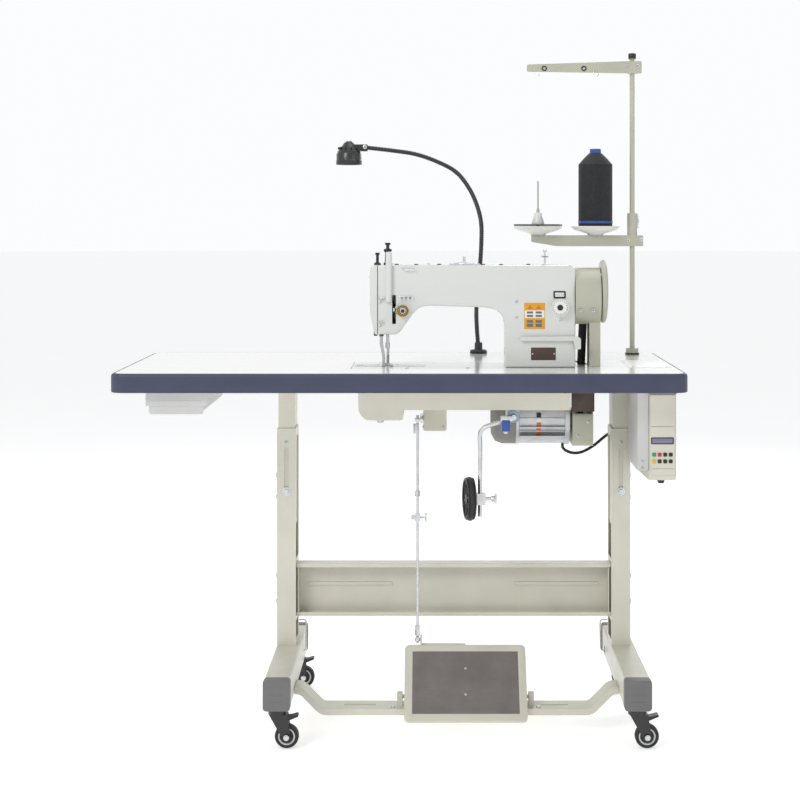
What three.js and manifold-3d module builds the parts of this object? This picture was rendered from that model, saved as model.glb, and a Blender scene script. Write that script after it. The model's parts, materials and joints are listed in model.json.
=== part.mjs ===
// An industrial walking-foot sewing machine on its height-adjustable rolling table.
// Millimetres, +Z up, +X to the operator's right, the operator stands at -Y.
// The origin is on the floor below the middle of the table.
import * as THREE from "three";
import { mergeVertices } from "three/addons/utils/BufferGeometryUtils.js";
import Module from "manifold-3d";

const wasm = await Module();
wasm.setup();

// ---------------------------------------------------------------- driving dimensions
const GAP = 0.3; // between pieces that touch
const TURN = 0.5; // radial clearance of what turns or slides

const TABLE_WIDTH = 1200;
const TABLE_DEPTH = 600;
const TABLE_THICK = 40;
const TABLE_TOP = 780;
const TABLE_CORNER = 30;
const EDGE_BAND = 8;

const WHEEL_D = 50;
const FORK_HEADROOM = 33; // caster height above its wheel
const WHEEL_WIDTH = 20;
const CASTER_TRAIL = 20;

const LEG_LEFT_X = -254;
const LEG_RIGHT_X = 495;
const FOOT_WIDTH = 54;
const FOOT_HEIGHT = 62;
const FOOT_FRONT = -297;
const FOOT_REAR = 240;
const STEM_INSET = 26; // caster stem from the foot's end
const COLUMN_WIDTH = 42;
const COLUMN_SHIFT = -4.5; // column's middle from its foot's
const COLUMN_DEPTH = 90;
const COLUMN_FRONT = 10;
const INNER_EXPOSED = 109; // inner column seen between the leg and the table
const TUBE_WALL = 2.5;
const INNER_LENGTH = 330;

const CROSSBAR_BOTTOM = 208;
const CROSSBAR_HEIGHT = 118;
const CROSSBAR_LIP = 9;
const CROSSBAR_DEPTH = 40;

const BAR_DEPTH = 68;
const BAR_THICK = 14;
const BAR_Z = 38;
const BAR_FRONT = -168;

const PEDAL_X = 140;
const PEDAL_WIDTH = 263;
const PEDAL_LENGTH = 181;
const PEDAL_THICK = 10;
const PEDAL_BORDER = 17;
const PEDAL_TILT = 48; // degrees
const PEDAL_HEEL = 73; // from the pivot down to the near edge
const PEDAL_STANDOFF = 20; // from the pivot up to the underside
const MAT_THICK = 3;
const PIVOT_R = 4;
const ROD_R = 3;
const ROD_X = 36;

const BED_LEFT = -105;
const BED_LENGTH = 477;
const BED_DEPTH = 178;
const BED_REAR = 7;
const BED_PLATE = 8;
const BED_WALL = 6;
const BED_CLEARANCE = 1;

const ARM_HEIGHT = 220;
const ARM_UNDERSIDE = 132;
const ARM_SETBACK = 31; // arm's front behind the bed's front edge
const ARM_DEPTH = 118;
const ARM_WALL = 11; // of the hollow arm and pillar castings
const PILLAR_WIDTH = 150;
const PILLAR_OVERHANG = 5;
const PILLAR_FILLET = 46;
const HEAD_WIDTH = 61;
const HEAD_BOTTOM = 71;
const FACE_DEPTH = 16;

const NEEDLE_X = -29;
const NEEDLE_SETBACK = 54; // needle behind the arm's front face
const SHAFT_HEIGHT = 162; // main shaft above the bed
const HANDWHEEL_D = 138;
const HANDWHEEL_WIDTH = 12;
const UPPER_PULLEY_R = 36;
const LOWER_PULLEY_R = 32;
const BELT_WIDTH = 10;
const BELT_THICK = 8;
const BELT_ROOM = 7; // free space round the belt where it passes through
const BELT_OFFSET = 28; // belt to the right of the bed

const MOTOR_Y = 60;
const MOTOR_DROP = 125; // motor shaft below the table's top
const MOTOR_R = 62;
const MOTOR_LENGTH = 120;
const MOTOR_TO_BELT = 24;

const PAN_INSET = 15; // pan inside the bed's left end
const PAN_WALL = 2.5;

const CONTROL_LEFT = 529;
const CONTROL_WIDTH = 57;
const CONTROL_HEIGHT = 202;
const CONTROL_FRONT = -200;
const CONTROL_DEPTH = 236;

const DRAWER_LEFT = -525;
const DRAWER_WIDTH = 121;
const DRAWER_DEPTH = 380;
const DRAWER_FRONT = -270;

const POLE_X = 541;
const POLE_Y = 241;
const POLE_R = 6;
const POLE_HEIGHT = 700; // above the table
const SPOOL_ARM_Z = 256;
const GUIDE_ARM_Z = 664;
const CONE_X = 454;
const EMPTY_SPOOL_X = 318;

const LAMP_X = 178;
const LAMP_Y = 274;
const LAMP_R = 5;

const KNEE_X = 243;
const KNEE_SHAFT_R = 6;

// ---------------------------------------------------------------- shapes
const AXES = {
  x: [new THREE.Vector3(0, 1, 0), new THREE.Vector3(0, 0, 1), new THREE.Vector3(1, 0, 0)],
  y: [new THREE.Vector3(1, 0, 0), new THREE.Vector3(0, 0, 1), new THREE.Vector3(0, -1, 0)],
  z: [new THREE.Vector3(1, 0, 0), new THREE.Vector3(0, 1, 0), new THREE.Vector3(0, 0, 1)],
};
const degrees = (angle) => THREE.MathUtils.degToRad(angle);

// A geometry as a closed solid that can be joined and cut.
function solid(geometry) {
  const bare = new THREE.BufferGeometry();
  const source = geometry.index ? geometry.toNonIndexed() : geometry;
  bare.setAttribute("position", source.getAttribute("position"));
  const merged = mergeVertices(bare, 1e-4);
  const index = [];
  for (let i = 0; i < merged.index.count; i += 3) {
    const [a, b, c] = [0, 1, 2].map((k) => merged.index.getX(i + k));
    if (a !== b && b !== c && c !== a) index.push(a, b, c);
  }
  const vertProperties = new Float32Array(merged.attributes.position.array);
  const build = (triVerts) =>
    new wasm.Manifold(new wasm.Mesh({ numProp: 3, vertProperties, triVerts }));
  const made = build(new Uint32Array(index));
  return made.volume() < 0 ? build(new Uint32Array(index.reverse())) : made;
}

const join = (first, ...others) => others.reduce((whole, next) => whole.add(next), first);
const cut = (first, ...tools) => tools.reduce((left, tool) => left.subtract(tool), first);

function box(x0, x1, y0, y1, z0, z1) {
  const geometry = new THREE.BoxGeometry(x1 - x0, y1 - y0, z1 - z0);
  return solid(geometry.translate((x0 + x1) / 2, (y0 + y1) / 2, (z0 + z1) / 2));
}

// A closed outline through corners [u, v, radius].
function outline(corners) {
  const shape = new THREE.Shape();
  corners.forEach(([u, v, radius = 0], i) => {
    const here = new THREE.Vector2(u, v);
    const before = new THREE.Vector2(...corners.at(i - 1).slice(0, 2));
    const after = new THREE.Vector2(...corners[(i + 1) % corners.length].slice(0, 2));
    const start = here.clone().add(before.sub(here).setLength(radius));
    const end = here.clone().add(after.sub(here).setLength(radius));
    if (i === 0) shape.moveTo(start.x, start.y);
    else shape.lineTo(start.x, start.y);
    if (radius > 0) shape.quadraticCurveTo(u, v, end.x, end.y);
  });
  shape.closePath();
  return shape;
}

const roundRect = (u0, u1, v0, v1, r) =>
  outline([[u0, v0, r], [u1, v0, r], [u1, v1, r], [u0, v1, r]]);

function disc(u, v, radius) {
  const shape = new THREE.Shape();
  shape.absarc(u, v, radius, 0, 2 * Math.PI);
  return shape;
}

// The outline drawn in the plane across an axis, swept from one place on it to another. The
// plane's first and second directions are (Y, Z) for x, (X, Z) for y and (X, Y) for z.
function prism(axis, shape, from, to, curveSegments = 4, bevel = 0) {
  const geometry = new THREE.ExtrudeGeometry(shape, {
    depth: to - from - 2 * bevel,
    curveSegments,
    bevelEnabled: bevel > 0,
    bevelThickness: bevel,
    bevelSize: bevel,
    bevelOffset: -bevel,
    bevelSegments: 2,
  });
  geometry.translate(0, 0, (axis === "y" ? -to : from) + bevel);
  return solid(geometry.applyMatrix4(new THREE.Matrix4().makeBasis(...AXES[axis])));
}

const rod = (axis, [u, v], radius, from, to, sides = 16) =>
  prism(axis, disc(u, v, radius), from, to, sides / 2);

// A profile of [radius, height] points turned about an axis through a point.
function turned(axis, [x, y, z], profile, sides = 24) {
  const points = profile.map(([radius, height]) => new THREE.Vector2(radius, height));
  const geometry = new THREE.LatheGeometry(points, sides);
  if (axis === "z") geometry.rotateX(Math.PI / 2);
  if (axis === "x") geometry.rotateZ(-Math.PI / 2);
  return solid(geometry.translate(x, y, z));
}

// A round tube along a smooth curve through points.
function tube(points, radius, sides, steps) {
  const path = new THREE.CatmullRomCurve3(points.map((p) => new THREE.Vector3(...p)));
  return solid(
    new THREE.ExtrudeGeometry(disc(0, 0, radius), {
      extrudePath: path,
      steps,
      curveSegments: sides / 2,
      bevelEnabled: false,
    }),
  );
}

// ---------------------------------------------------------------- finishes
const finish = (color, roughness, metalness = 0) => ({ color, roughness, metalness });
const CREAM = finish(0xc8c6b4, 0.5);
const LAMINATE = finish(0xe6e6e2, 0.25);
const NAVY = finish(0x4b4d69, 0.5);
const HEAD_PAINT = finish(0xdcdfd8, 0.3);
const GUARD_PAINT = finish(0xb2b2a0, 0.45);
const GREY = finish(0x8d8f8f, 0.6);
const BLACK = finish(0x1c1c1e, 0.5);
const RUBBER = finish(0x6a6460, 0.9);
const STEEL = finish(0xc4c6c8, 0.3, 1);
const WHITE = finish(0xeef0ee, 0.4);
const THREAD = finish(0x15161c, 0.8);

const machine = new THREE.Group();

// Adds a solid to a group as one named mesh with a material of its own.
function piece(group, name, shape, material) {
  const { vertProperties, triVerts } = shape.getMesh();
  const geometry = new THREE.BufferGeometry();
  geometry.setAttribute("position", new THREE.BufferAttribute(vertProperties, 3));
  geometry.setIndex(new THREE.BufferAttribute(triVerts, 1));
  const mesh = new THREE.Mesh(geometry, new THREE.MeshStandardMaterial(material));
  mesh.name = name;
  group.add(mesh);
}

function groupAt(parent, x, y, z) {
  const group = new THREE.Group();
  group.position.set(x, y, z);
  parent.add(group);
  return group;
}

// ---------------------------------------------------------------- base frame
const casterHeight = WHEEL_D + FORK_HEADROOM;
const footTop = casterHeight + FOOT_HEIGHT;
const columnTop = TABLE_TOP - TABLE_THICK - INNER_EXPOSED;
const stems = [FOOT_FRONT + STEM_INSET, FOOT_REAR - STEM_INSET];
const columnBack = COLUMN_FRONT + COLUMN_DEPTH;
const STEM_R = 5;
const STEM_LENGTH = 30;
const FOOT_WALL = 3;
const SLOT = { bottom: 135, top: 44, width: 9 }; // below the column's top
const CHANNEL_LIP = 10; // beside the openings in the column's inner side
const leftColumnX = LEG_LEFT_X + COLUMN_SHIFT;
const rightColumnX = LEG_RIGHT_X + COLUMN_SHIFT;
const crossbarTop = CROSSBAR_BOTTOM + CROSSBAR_HEIGHT;

// A foot with its column. inward is 1 where the other leg lies at higher X.
function leg(x, inward) {
  const half = FOOT_WIDTH / 2;
  const section = roundRect(x - half, x + half, casterHeight, footTop, 5);
  const inside = half - FOOT_WALL;
  const hollow = box(
    x - inside, x + inside, FOOT_FRONT + FOOT_WALL, FOOT_REAR - FOOT_WALL,
    casterHeight - 1, footTop - FOOT_WALL,
  );
  const block = (y) => box(x - inside - 1, x + inside + 1, y - 20, y + 20, casterHeight, footTop - 1);
  const bore = (y) =>
    rod("z", [x, y], STEM_R + TURN, casterHeight - 1, casterHeight + STEM_LENGTH + GAP);
  const w = COLUMN_WIDTH / 2;
  const inner = w - TUBE_WALL;
  const c = x + COLUMN_SHIFT;
  const [side0, side1] = [c + inward * (inner - 1), c + inward * (w + 1)].sort((a, b) => a - b);
  const opening = (z0, z1) =>
    box(side0, side1, COLUMN_FRONT + CHANNEL_LIP, columnBack - CHANNEL_LIP, z0, z1);
  const column = cut(
    box(c - w, c + w, COLUMN_FRONT, columnBack, footTop - 1, columnTop),
    box(c - inner, c + inner, COLUMN_FRONT + TUBE_WALL, columnBack - TUBE_WALL, footTop, columnTop + 1),
    box(
      c - SLOT.width / 2, c + SLOT.width / 2, COLUMN_FRONT - 1, COLUMN_FRONT + TUBE_WALL + 1,
      columnTop - SLOT.bottom, columnTop - SLOT.top,
    ),
    opening(footTop + CHANNEL_LIP, CROSSBAR_BOTTOM - CHANNEL_LIP),
    opening(crossbarTop + CHANNEL_LIP, columnTop - 2 * CHANNEL_LIP),
  );
  const foot = cut(prism("y", section, FOOT_FRONT, FOOT_REAR), hollow);
  return cut(join(foot, ...stems.map(block), column), ...stems.map(bore));
}
piece(machine, "left_leg", leg(LEG_LEFT_X, 1), CREAM);
piece(machine, "right_leg", leg(LEG_RIGHT_X, -1), CREAM);

function crossbar() {
  const front = COLUMN_FRONT + 15;
  const back = front + CROSSBAR_DEPTH;
  const z0 = CROSSBAR_BOTTOM;
  const z1 = crossbarTop;
  const t = TUBE_WALL;
  const channel = outline([
    [back, z0], [back, z1], [front, z1], [front, z1 - CROSSBAR_LIP],
    [front + t, z1 - CROSSBAR_LIP], [front + t, z1 - t], [back - t, z1 - t], [back - t, z0 + t],
    [front + t, z0 + t], [front + t, z0 + CROSSBAR_LIP], [front, z0 + CROSSBAR_LIP], [front, z0],
  ]);
  const inset = COLUMN_WIDTH / 2 + GAP;
  return prism("x", channel, leftColumnX + inset, rightColumnX - inset);
}
piece(machine, "crossbar", crossbar(), CREAM);

const pedalY = BAR_FRONT + BAR_DEPTH / 2;
const pedalZ = BAR_Z + BAR_THICK + 18;
const pedalGap = 4; // between the pedal's side and its bracket
const bracketThick = 12;
const earThick = 8;

function treadleBar() {
  const x0 = LEG_LEFT_X + FOOT_WIDTH / 2 + GAP;
  const x1 = LEG_RIGHT_X - FOOT_WIDTH / 2 - GAP;
  const [low, high, t] = [BAR_Z, casterHeight, BAR_THICK];
  const strip = outline([
    [x0, high], [x0 + 12, high, 8], [x0 + 56, low, 14], [x1 - 56, low, 14], [x1 - 12, high, 8],
    [x1, high], [x1, high + t], [x1 - 16, high + t, 14], [x1 - 60, low + t, 8],
    [x0 + 60, low + t, 8], [x0 + 16, high + t, 14], [x0, high + t],
  ]);
  const back = BAR_FRONT + BAR_DEPTH;
  const bar = prism("y", strip, BAR_FRONT, back);
  const slot = (from, to) =>
    box(from, to, pedalY - 4.5, pedalY + 4.5, low - 1, low + t + 1);
  const half = PEDAL_WIDTH / 2;
  const bracket = (side) => {
    const inner = PEDAL_X + side * (half + pedalGap);
    const outer = inner + side * bracketThick;
    const pinEnd = PEDAL_X + side * (half - earThick - 5);
    const [a, b] = [Math.min(inner, outer), Math.max(inner, outer)];
    const [c, d] = [Math.min(inner, pinEnd) - 1, Math.max(inner, pinEnd) + 1];
    const plate = outline([
      [pedalY - 16, low + t - 1], [pedalY + 16, low + t - 1], [pedalY + 10, pedalZ + 10, 6],
      [pedalY - 10, pedalZ + 10, 6],
    ]);
    return join(prism("x", plate, a, b), rod("x", [pedalY, pedalZ], PIVOT_R, c, d));
  };
  const slots = [slot(x0 + 105, x0 + 173), slot(x1 - 164, x1 - 107)];
  return join(cut(bar, ...slots), bracket(-1), bracket(1));
}
piece(machine, "treadle_bar", treadleBar(), CREAM);

// ---------------------------------------------------------------- casters
const wheelR = WHEEL_D / 2;
const axleZ = wheelR;
const AXLE_R = 3;

const brakePivot = { x: CASTER_TRAIL - 5, z: WHEEL_D + 12 };
const BRAKE_PIN_R = 2.5;

function casterFork() {
  const cheek = WHEEL_WIDTH / 2 + 1.5;
  const outerY = cheek + 2.5;
  const shoulder = casterHeight - 13;
  const side = outline([
    [-16, shoulder + 1], [CASTER_TRAIL + 2, shoulder + 1], [CASTER_TRAIL + 8, axleZ + 4, 6],
    [CASTER_TRAIL + 4, axleZ - 8, 4], [CASTER_TRAIL - 6, axleZ - 8, 4],
  ]);
  const arms = cut(
    prism("y", side, -outerY, outerY),
    box(-20, CASTER_TRAIL + 20, -cheek, cheek, 0, shoulder),
  );
  const plate = rod("z", [0, 0], 19, shoulder, casterHeight - GAP, 20);
  const stem = rod("z", [0, 0], STEM_R, casterHeight - 5, casterHeight + STEM_LENGTH);
  const axle = rod("y", [CASTER_TRAIL, axleZ], AXLE_R, -outerY, outerY, 12);
  const pin = rod("y", [brakePivot.x, brakePivot.z], BRAKE_PIN_R, -outerY, outerY, 12);
  return join(arms, plate, stem, axle, pin);
}

function casterWheel() {
  const w = WHEEL_WIDTH / 2;
  const profile = [
    [AXLE_R + TURN, -w], [wheelR - 9, -w], [wheelR - 8, -w + 1.5], [wheelR - 5, -w],
    [wheelR, -w + 4], [wheelR, w - 4], [wheelR - 5, w], [wheelR - 8, w - 1.5],
    [wheelR - 9, w], [AXLE_R + TURN, w], [AXLE_R + TURN, -w],
  ];
  return turned("y", [CASTER_TRAIL, 0, axleZ], profile, 20);
}

// The foot pedal of the wheel brake, hinged between the fork's cheeks.
function casterBrake() {
  const { x, z } = brakePivot;
  const lever = outline([
    [x - 5, z - 5, 3], [x + 5, z - 5, 3], [x + 16, z - 1, 3], [x + 30, z + 5, 2],
    [x + 28, z + 9, 2], [x + 14, z + 5, 3], [x - 5, z + 5, 3],
  ]);
  const half = WHEEL_WIDTH / 2 + 1;
  return cut(
    prism("y", lever, -half, half, 2),
    rod("y", [x, z], BRAKE_PIN_R + TURN, -half - 1, half + 1, 12),
  );
}

const corners = [
  ["front_left", LEG_LEFT_X, stems[0]],
  ["front_right", LEG_RIGHT_X, stems[0]],
  ["rear_left", LEG_LEFT_X, stems[1]],
  ["rear_right", LEG_RIGHT_X, stems[1]],
];
for (const [corner, x, y] of corners) {
  const caster = groupAt(machine, x, y, 0);
  piece(caster, "caster_fork_" + corner, casterFork(), BLACK);
  piece(caster, "caster_wheel_" + corner, casterWheel(), BLACK);
  piece(caster, "caster_brake_" + corner, casterBrake(), BLACK);
}

// ---------------------------------------------------------------- treadle and its rod
const tilt = degrees(PEDAL_TILT);
const LINK_ALONG = 122;
const LINK_UP = 26;
const EYE_R = 8;
const EYE_WIDTH = 6;
const LINK_PLAY = 2.6; // radial play of the rod's upper eye, where the linkage is opened
const linkY = pedalY + LINK_ALONG * Math.cos(tilt) - LINK_UP * Math.sin(tilt);
const linkZ = pedalZ + LINK_ALONG * Math.sin(tilt) + LINK_UP * Math.cos(tilt);
const rodLocal = ROD_X - PEDAL_X;

function treadleFrame() {
  const half = PEDAL_WIDTH / 2;
  const far = PEDAL_LENGTH - PEDAL_HEEL;
  const [under, top] = [PEDAL_STANDOFF, PEDAL_STANDOFF + PEDAL_THICK];
  const plate = prism("z", roundRect(-half, half, -PEDAL_HEEL, far, 12), under, top, 4, 2);
  const b = PEDAL_BORDER;
  const recess = box(-half + b, half - b, -PEDAL_HEEL + b, far - b, top - 2, top + 1);
  const ear = (x) =>
    cut(
      box(x, x + earThick, -12, 12, -10, under + 1),
      rod("x", [0, 0], PIVOT_R + TURN, x - 1, x + earThick + 1),
    );
  const link = join(
    box(rodLocal + 6, rodLocal + 105, far - 12, far + 8, under - 6, under + 0.5),
    box(rodLocal + 6, rodLocal + 10, far - 2, LINK_ALONG + 8, under - 6, LINK_UP + 8),
    rod("x", [LINK_ALONG, LINK_UP], PIVOT_R, rodLocal - 6, rodLocal + 8),
  );
  return join(cut(plate, recess), ear(-half + 2), ear(half - 2 - earThick), link);
}

const treadle = groupAt(machine, PEDAL_X, pedalY, pedalZ);
treadle.rotation.x = tilt;
piece(treadle, "treadle_frame", treadleFrame(), CREAM);

function treadleMat() {
  const half = PEDAL_WIDTH / 2 - PEDAL_BORDER - GAP;
  const near = -PEDAL_HEEL + PEDAL_BORDER + GAP;
  const far = PEDAL_LENGTH - PEDAL_HEEL - PEDAL_BORDER - GAP;
  const bottom = PEDAL_STANDOFF + PEDAL_THICK - 2 + GAP;
  return box(-half, half, near, far, bottom, bottom + MAT_THICK);
}
piece(treadle, "treadle_mat", treadleMat(), RUBBER);

const LEVER_Y = -5;
const LEVER_LENGTH = 45;
const LEVER_DROP = 122; // speed lever's shaft below the table's top
const leverEndY = LEVER_Y - LEVER_LENGTH;
const rodRise = TABLE_TOP - LEVER_DROP - linkZ;
const rodLean = leverEndY - linkY;
const rodLength = Math.hypot(rodRise, rodLean);

function treadleRod() {
  const eye = (z, play) => rod("x", [0, z], EYE_R + play, -EYE_WIDTH / 2, EYE_WIDTH / 2);
  const bore = (z, play) => rod("x", [0, z], PIVOT_R + play, -EYE_WIDTH, EYE_WIDTH);
  const collarZ = rodLength - 168;
  const clampZ = rodLength - 222;
  return cut(
    join(
      rod("z", [0, 0], ROD_R, EYE_R - 3, rodLength - EYE_R + 3, 12),
      eye(0, 0), eye(rodLength, LINK_PLAY - TURN),
      rod("z", [0, 0], ROD_R + 3, collarZ, collarZ + 12, 12),
      box(-6, 6, -6, 6, clampZ, clampZ + 16),
      box(-14, -5, -2, 2, clampZ + 3, clampZ + 13),
    ),
    bore(0, TURN), bore(rodLength, LINK_PLAY),
  );
}
const rodGroup = groupAt(machine, ROD_X, linkY, linkZ);
rodGroup.rotation.x = Math.atan2(-rodLean, rodRise);
piece(rodGroup, "treadle_rod", treadleRod(), STEEL);

// ---------------------------------------------------------------- table, z = 0 is its top
const table = groupAt(machine, 0, 0, TABLE_TOP);
const under = -TABLE_THICK;
const hung = under - GAP; // top of what is screwed to the underside
const bedFront = BED_REAR - BED_DEPTH;
const bedRight = BED_LEFT + BED_LENGTH;
const bedBox = TABLE_THICK - 2;
const beltX = bedRight + BELT_OFFSET;
const armFront = bedFront + ARM_SETBACK;
const armBack = armFront + ARM_DEPTH;
const needleY = armFront + NEEDLE_SETBACK;

// The belt's loop in the (Y, Z) plane round the two pulleys, at a distance outside them.
function loop(distance) {
  const [r0, r1] = [UPPER_PULLEY_R + distance, LOWER_PULLEY_R + distance];
  const [y0, z0, y1, z1] = [needleY, SHAFT_HEIGHT, MOTOR_Y, -MOTOR_DROP];
  const along = Math.atan2(z1 - z0, y1 - y0);
  const lap = Math.acos((r0 - r1) / Math.hypot(y1 - y0, z1 - z0));
  const shape = new THREE.Shape();
  shape.absarc(y0, z0, r0, along + lap, along - lap + 2 * Math.PI);
  shape.absarc(y1, z1, r1, along - lap, along + lap);
  return shape;
}

// The room that the running belt needs between two heights.
function beltPassage(x0, x1, z0, z1) {
  const room = prism("x", loop(BELT_THICK + BELT_ROOM), x0, x1);
  return room.intersect(box(x0 - 1, x1 + 1, -TABLE_DEPTH, TABLE_DEPTH, z0, z1));
}

function tableTop() {
  const [w, d] = [TABLE_WIDTH / 2 - EDGE_BAND - GAP, TABLE_DEPTH / 2 - EDGE_BAND - GAP];
  const board = roundRect(-w, w, -d, d, TABLE_CORNER - EDGE_BAND);
  const c = BED_CLEARANCE;
  board.holes.push(roundRect(BED_LEFT - c, bedRight + c, bedFront - c, BED_REAR + c, 2));
  const slot = beltPassage(beltX - BELT_WIDTH, beltX + BELT_WIDTH, under - 1, 1);
  const poleHole = rod("z", [POLE_X, POLE_Y], POLE_R + TURN, under - 1, 1);
  return cut(prism("z", board, under, 0), slot, poleHole);
}
piece(table, "table_top", tableTop(), LAMINATE);

function tableEdge() {
  const [w, d, e] = [TABLE_WIDTH / 2, TABLE_DEPTH / 2, EDGE_BAND];
  const ring = roundRect(-w, w, -d, d, TABLE_CORNER);
  ring.holes.push(roundRect(-w + e, w - e, -d + e, d - e, TABLE_CORNER - e));
  return prism("z", ring, under, 0);
}
piece(table, "table_edge", tableEdge(), NAVY);

function innerColumn(x) {
  const w = COLUMN_WIDTH / 2 - TUBE_WALL - TURN;
  const [y0, y1] = [COLUMN_FRONT + TUBE_WALL + TURN, columnBack - TUBE_WALL - TURN];
  const t = TUBE_WALL;
  const bottom = hung - INNER_LENGTH;
  const tubeWall = cut(
    box(x - w, x + w, y0, y1, bottom, hung),
    box(x - w + t, x + w - t, y0 + t, y1 - t, bottom - 1, hung - 4),
  );
  const flange = box(x - w - 12, x + w + 12, y0 - 8, y1 + 8, hung - 4, hung);
  const gusset = (side) =>
    prism(
      "y",
      outline([[x + side * (w - 1), hung - 1], [x + side * (w + 11), hung - 1],
        [x + side * (w - 1), hung - 26]]),
      y0 + 12, y1 - 12,
    );
  return join(tubeWall, flange, gusset(-1), gusset(1));
}
piece(table, "left_inner_column", innerColumn(leftColumnX), CREAM);
piece(table, "right_inner_column", innerColumn(rightColumnX), CREAM);

// Drawer: the tray's flanges run on the runner's lips.
const RUNNER_HEIGHT = 20;
const RUNNER_WALL = 2.5;
const FLANGE_THICK = 2.5;
const TRAY_DEPTH = 26;
const TRAY_INSET = 9;
const drawerRight = DRAWER_LEFT + DRAWER_WIDTH;
const drawerBack = DRAWER_FRONT + DRAWER_DEPTH;

function drawerRunner() {
  const [x0, x1, t] = [DRAWER_LEFT, drawerRight, RUNNER_WALL];
  const bottom = hung - RUNNER_HEIGHT;
  return cut(
    box(x0, x1, DRAWER_FRONT, drawerBack, bottom, hung),
    box(x0 + t, x1 - t, DRAWER_FRONT - 1, drawerBack - t, bottom + t, hung - t),
    box(x0 + TRAY_INSET - 1, x1 - TRAY_INSET + 1, DRAWER_FRONT - 1, drawerBack - t, bottom - 1, bottom + 5),
  );
}
piece(table, "drawer_runner", drawerRunner(), GREY);

function drawerTray() {
  const [x0, x1] = [DRAWER_LEFT + TRAY_INSET, drawerRight - TRAY_INSET];
  const bottom = hung - RUNNER_HEIGHT - TRAY_DEPTH;
  const lip = hung - RUNNER_HEIGHT + RUNNER_WALL + GAP;
  const back = drawerBack - RUNNER_WALL - 2;
  const t = RUNNER_WALL;
  const section = outline([
    [x0, bottom, 6], [x1, bottom, 6], [x1, lip], [x1 + 5, lip], [x1 + 5, lip + FLANGE_THICK],
    [x0 - 5, lip + FLANGE_THICK], [x0 - 5, lip], [x0, lip],
  ]);
  const hollow = box(
    x0 + t, x1 - t, DRAWER_FRONT + t, back - t, bottom + t, lip + FLANGE_THICK + 1,
  );
  return cut(prism("y", section, DRAWER_FRONT, back), hollow);
}
piece(table, "drawer_tray", drawerTray(), GREY);

// Oil pan below the machine's bed: a deep sump on the left and a shallow tray on the right.
const panLeft = BED_LEFT + PAN_INSET;
const panRight = bedRight - 7;
const panFront = bedFront + 6;
const panBack = BED_REAR - 17;
const SUMP_RIGHT = 6;
const SUMP_DEPTH = 71;
const TRAY_BOTTOM = 49;
const kneeZ = hung - TRAY_BOTTOM - KNEE_SHAFT_R - 10;

function oilPan() {
  const t = PAN_WALL;
  const sump = prism(
    "y",
    outline([
      [panLeft, hung], [panLeft, hung - SUMP_DEPTH + 16, 12], [panLeft + 16, hung - SUMP_DEPTH, 8],
      [SUMP_RIGHT, hung - SUMP_DEPTH, 6], [SUMP_RIGHT, hung],
    ]),
    panFront, panBack,
  );
  const tray = box(SUMP_RIGHT - 1, panRight, panFront, panBack, hung - TRAY_BOTTOM, hung);
  const hub = KNEE_SHAFT_R + 7;
  const bearing = (y) => box(KNEE_X - hub, KNEE_X + hub, y, y + 24, kneeZ - hub, hung - TRAY_BOTTOM + 1);
  const hollows = [
    box(panLeft + t, SUMP_RIGHT - t, panFront + t, panBack - t, hung - SUMP_DEPTH + 18, hung + 1),
    box(panLeft + 18, SUMP_RIGHT - t, panFront + t, panBack - t, hung - SUMP_DEPTH + t, hung),
    box(SUMP_RIGHT - t - 1, panRight - t, panFront + t, panBack - t, hung - TRAY_BOTTOM + t, hung + 1),
  ];
  const shaftBore = rod("y", [KNEE_X, kneeZ], KNEE_SHAFT_R + TURN, panFront - 1, panBack + 1);
  return cut(join(sump, tray, bearing(panFront + 18), bearing(panBack - 50)), ...hollows, shaftBore);
}
piece(table, "oil_pan", oilPan(), CREAM);

// Knee lifter: a shaft below the pan, a bent arm and a round pad.
const kneeY = panFront + 8;
const PAD_R = 47;
const PAD_THICK = 12;
const PAD_X = 148;
const PAD_DROP = 282;

function kneeRod() {
  const armX = PAD_X + 23;
  const bend = hung - 99;
  const arm = tube(
    [
      [armX, kneeY, -PAD_DROP - 36], [armX, kneeY, -PAD_DROP + 40], [armX, kneeY, bend - 30],
      [armX, kneeY, bend], [armX + 5, kneeY, bend + 10], [armX + 18, kneeY, bend + 16],
      [armX + 44, kneeY, bend + 24], [KNEE_X, kneeY, kneeZ],
    ],
    5, 10, 20,
  );
  const shaft = rod("y", [KNEE_X, kneeZ], KNEE_SHAFT_R, kneeY - 8, panBack - 20);
  const clamp = box(armX - 10, armX + 12, kneeY - 12, kneeY + 9, -PAD_DROP - 10, -PAD_DROP + 14);
  const grip = rod("x", [kneeY, -PAD_DROP + 2], 4, armX - 13.5, armX + 26, 10);
  return join(arm, shaft, clamp, grip);
}
piece(table, "knee_lifter_rod", kneeRod(), STEEL);

function kneePad() {
  const w = PAD_THICK / 2;
  const profile = [
    [0, -w + 3], [PAD_R - 14, -w + 3], [PAD_R - 10, -w], [PAD_R - 3, -w], [PAD_R, -w + 3],
    [PAD_R, w - 3], [PAD_R - 3, w], [PAD_R - 10, w], [PAD_R - 14, w - 3],
    [9, w - 3], [9, w + 1], [0, w + 1],
  ];
  return turned("x", [0, 0, 0], profile, 24);
}
const padGroup = groupAt(table, PAD_X, kneeY, -PAD_DROP + 2);
padGroup.rotation.z = degrees(8);
piece(padGroup, "knee_lifter_pad", kneePad(), BLACK);

// Speed unit: its lever is pulled by the treadle's rod.
const UNIT = { left: 48, right: 100, front: -27, back: 58, below: 28, above: 26 };
const LEVER_PIN_R = 5;
const LEVER_THICK = 5;

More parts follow.
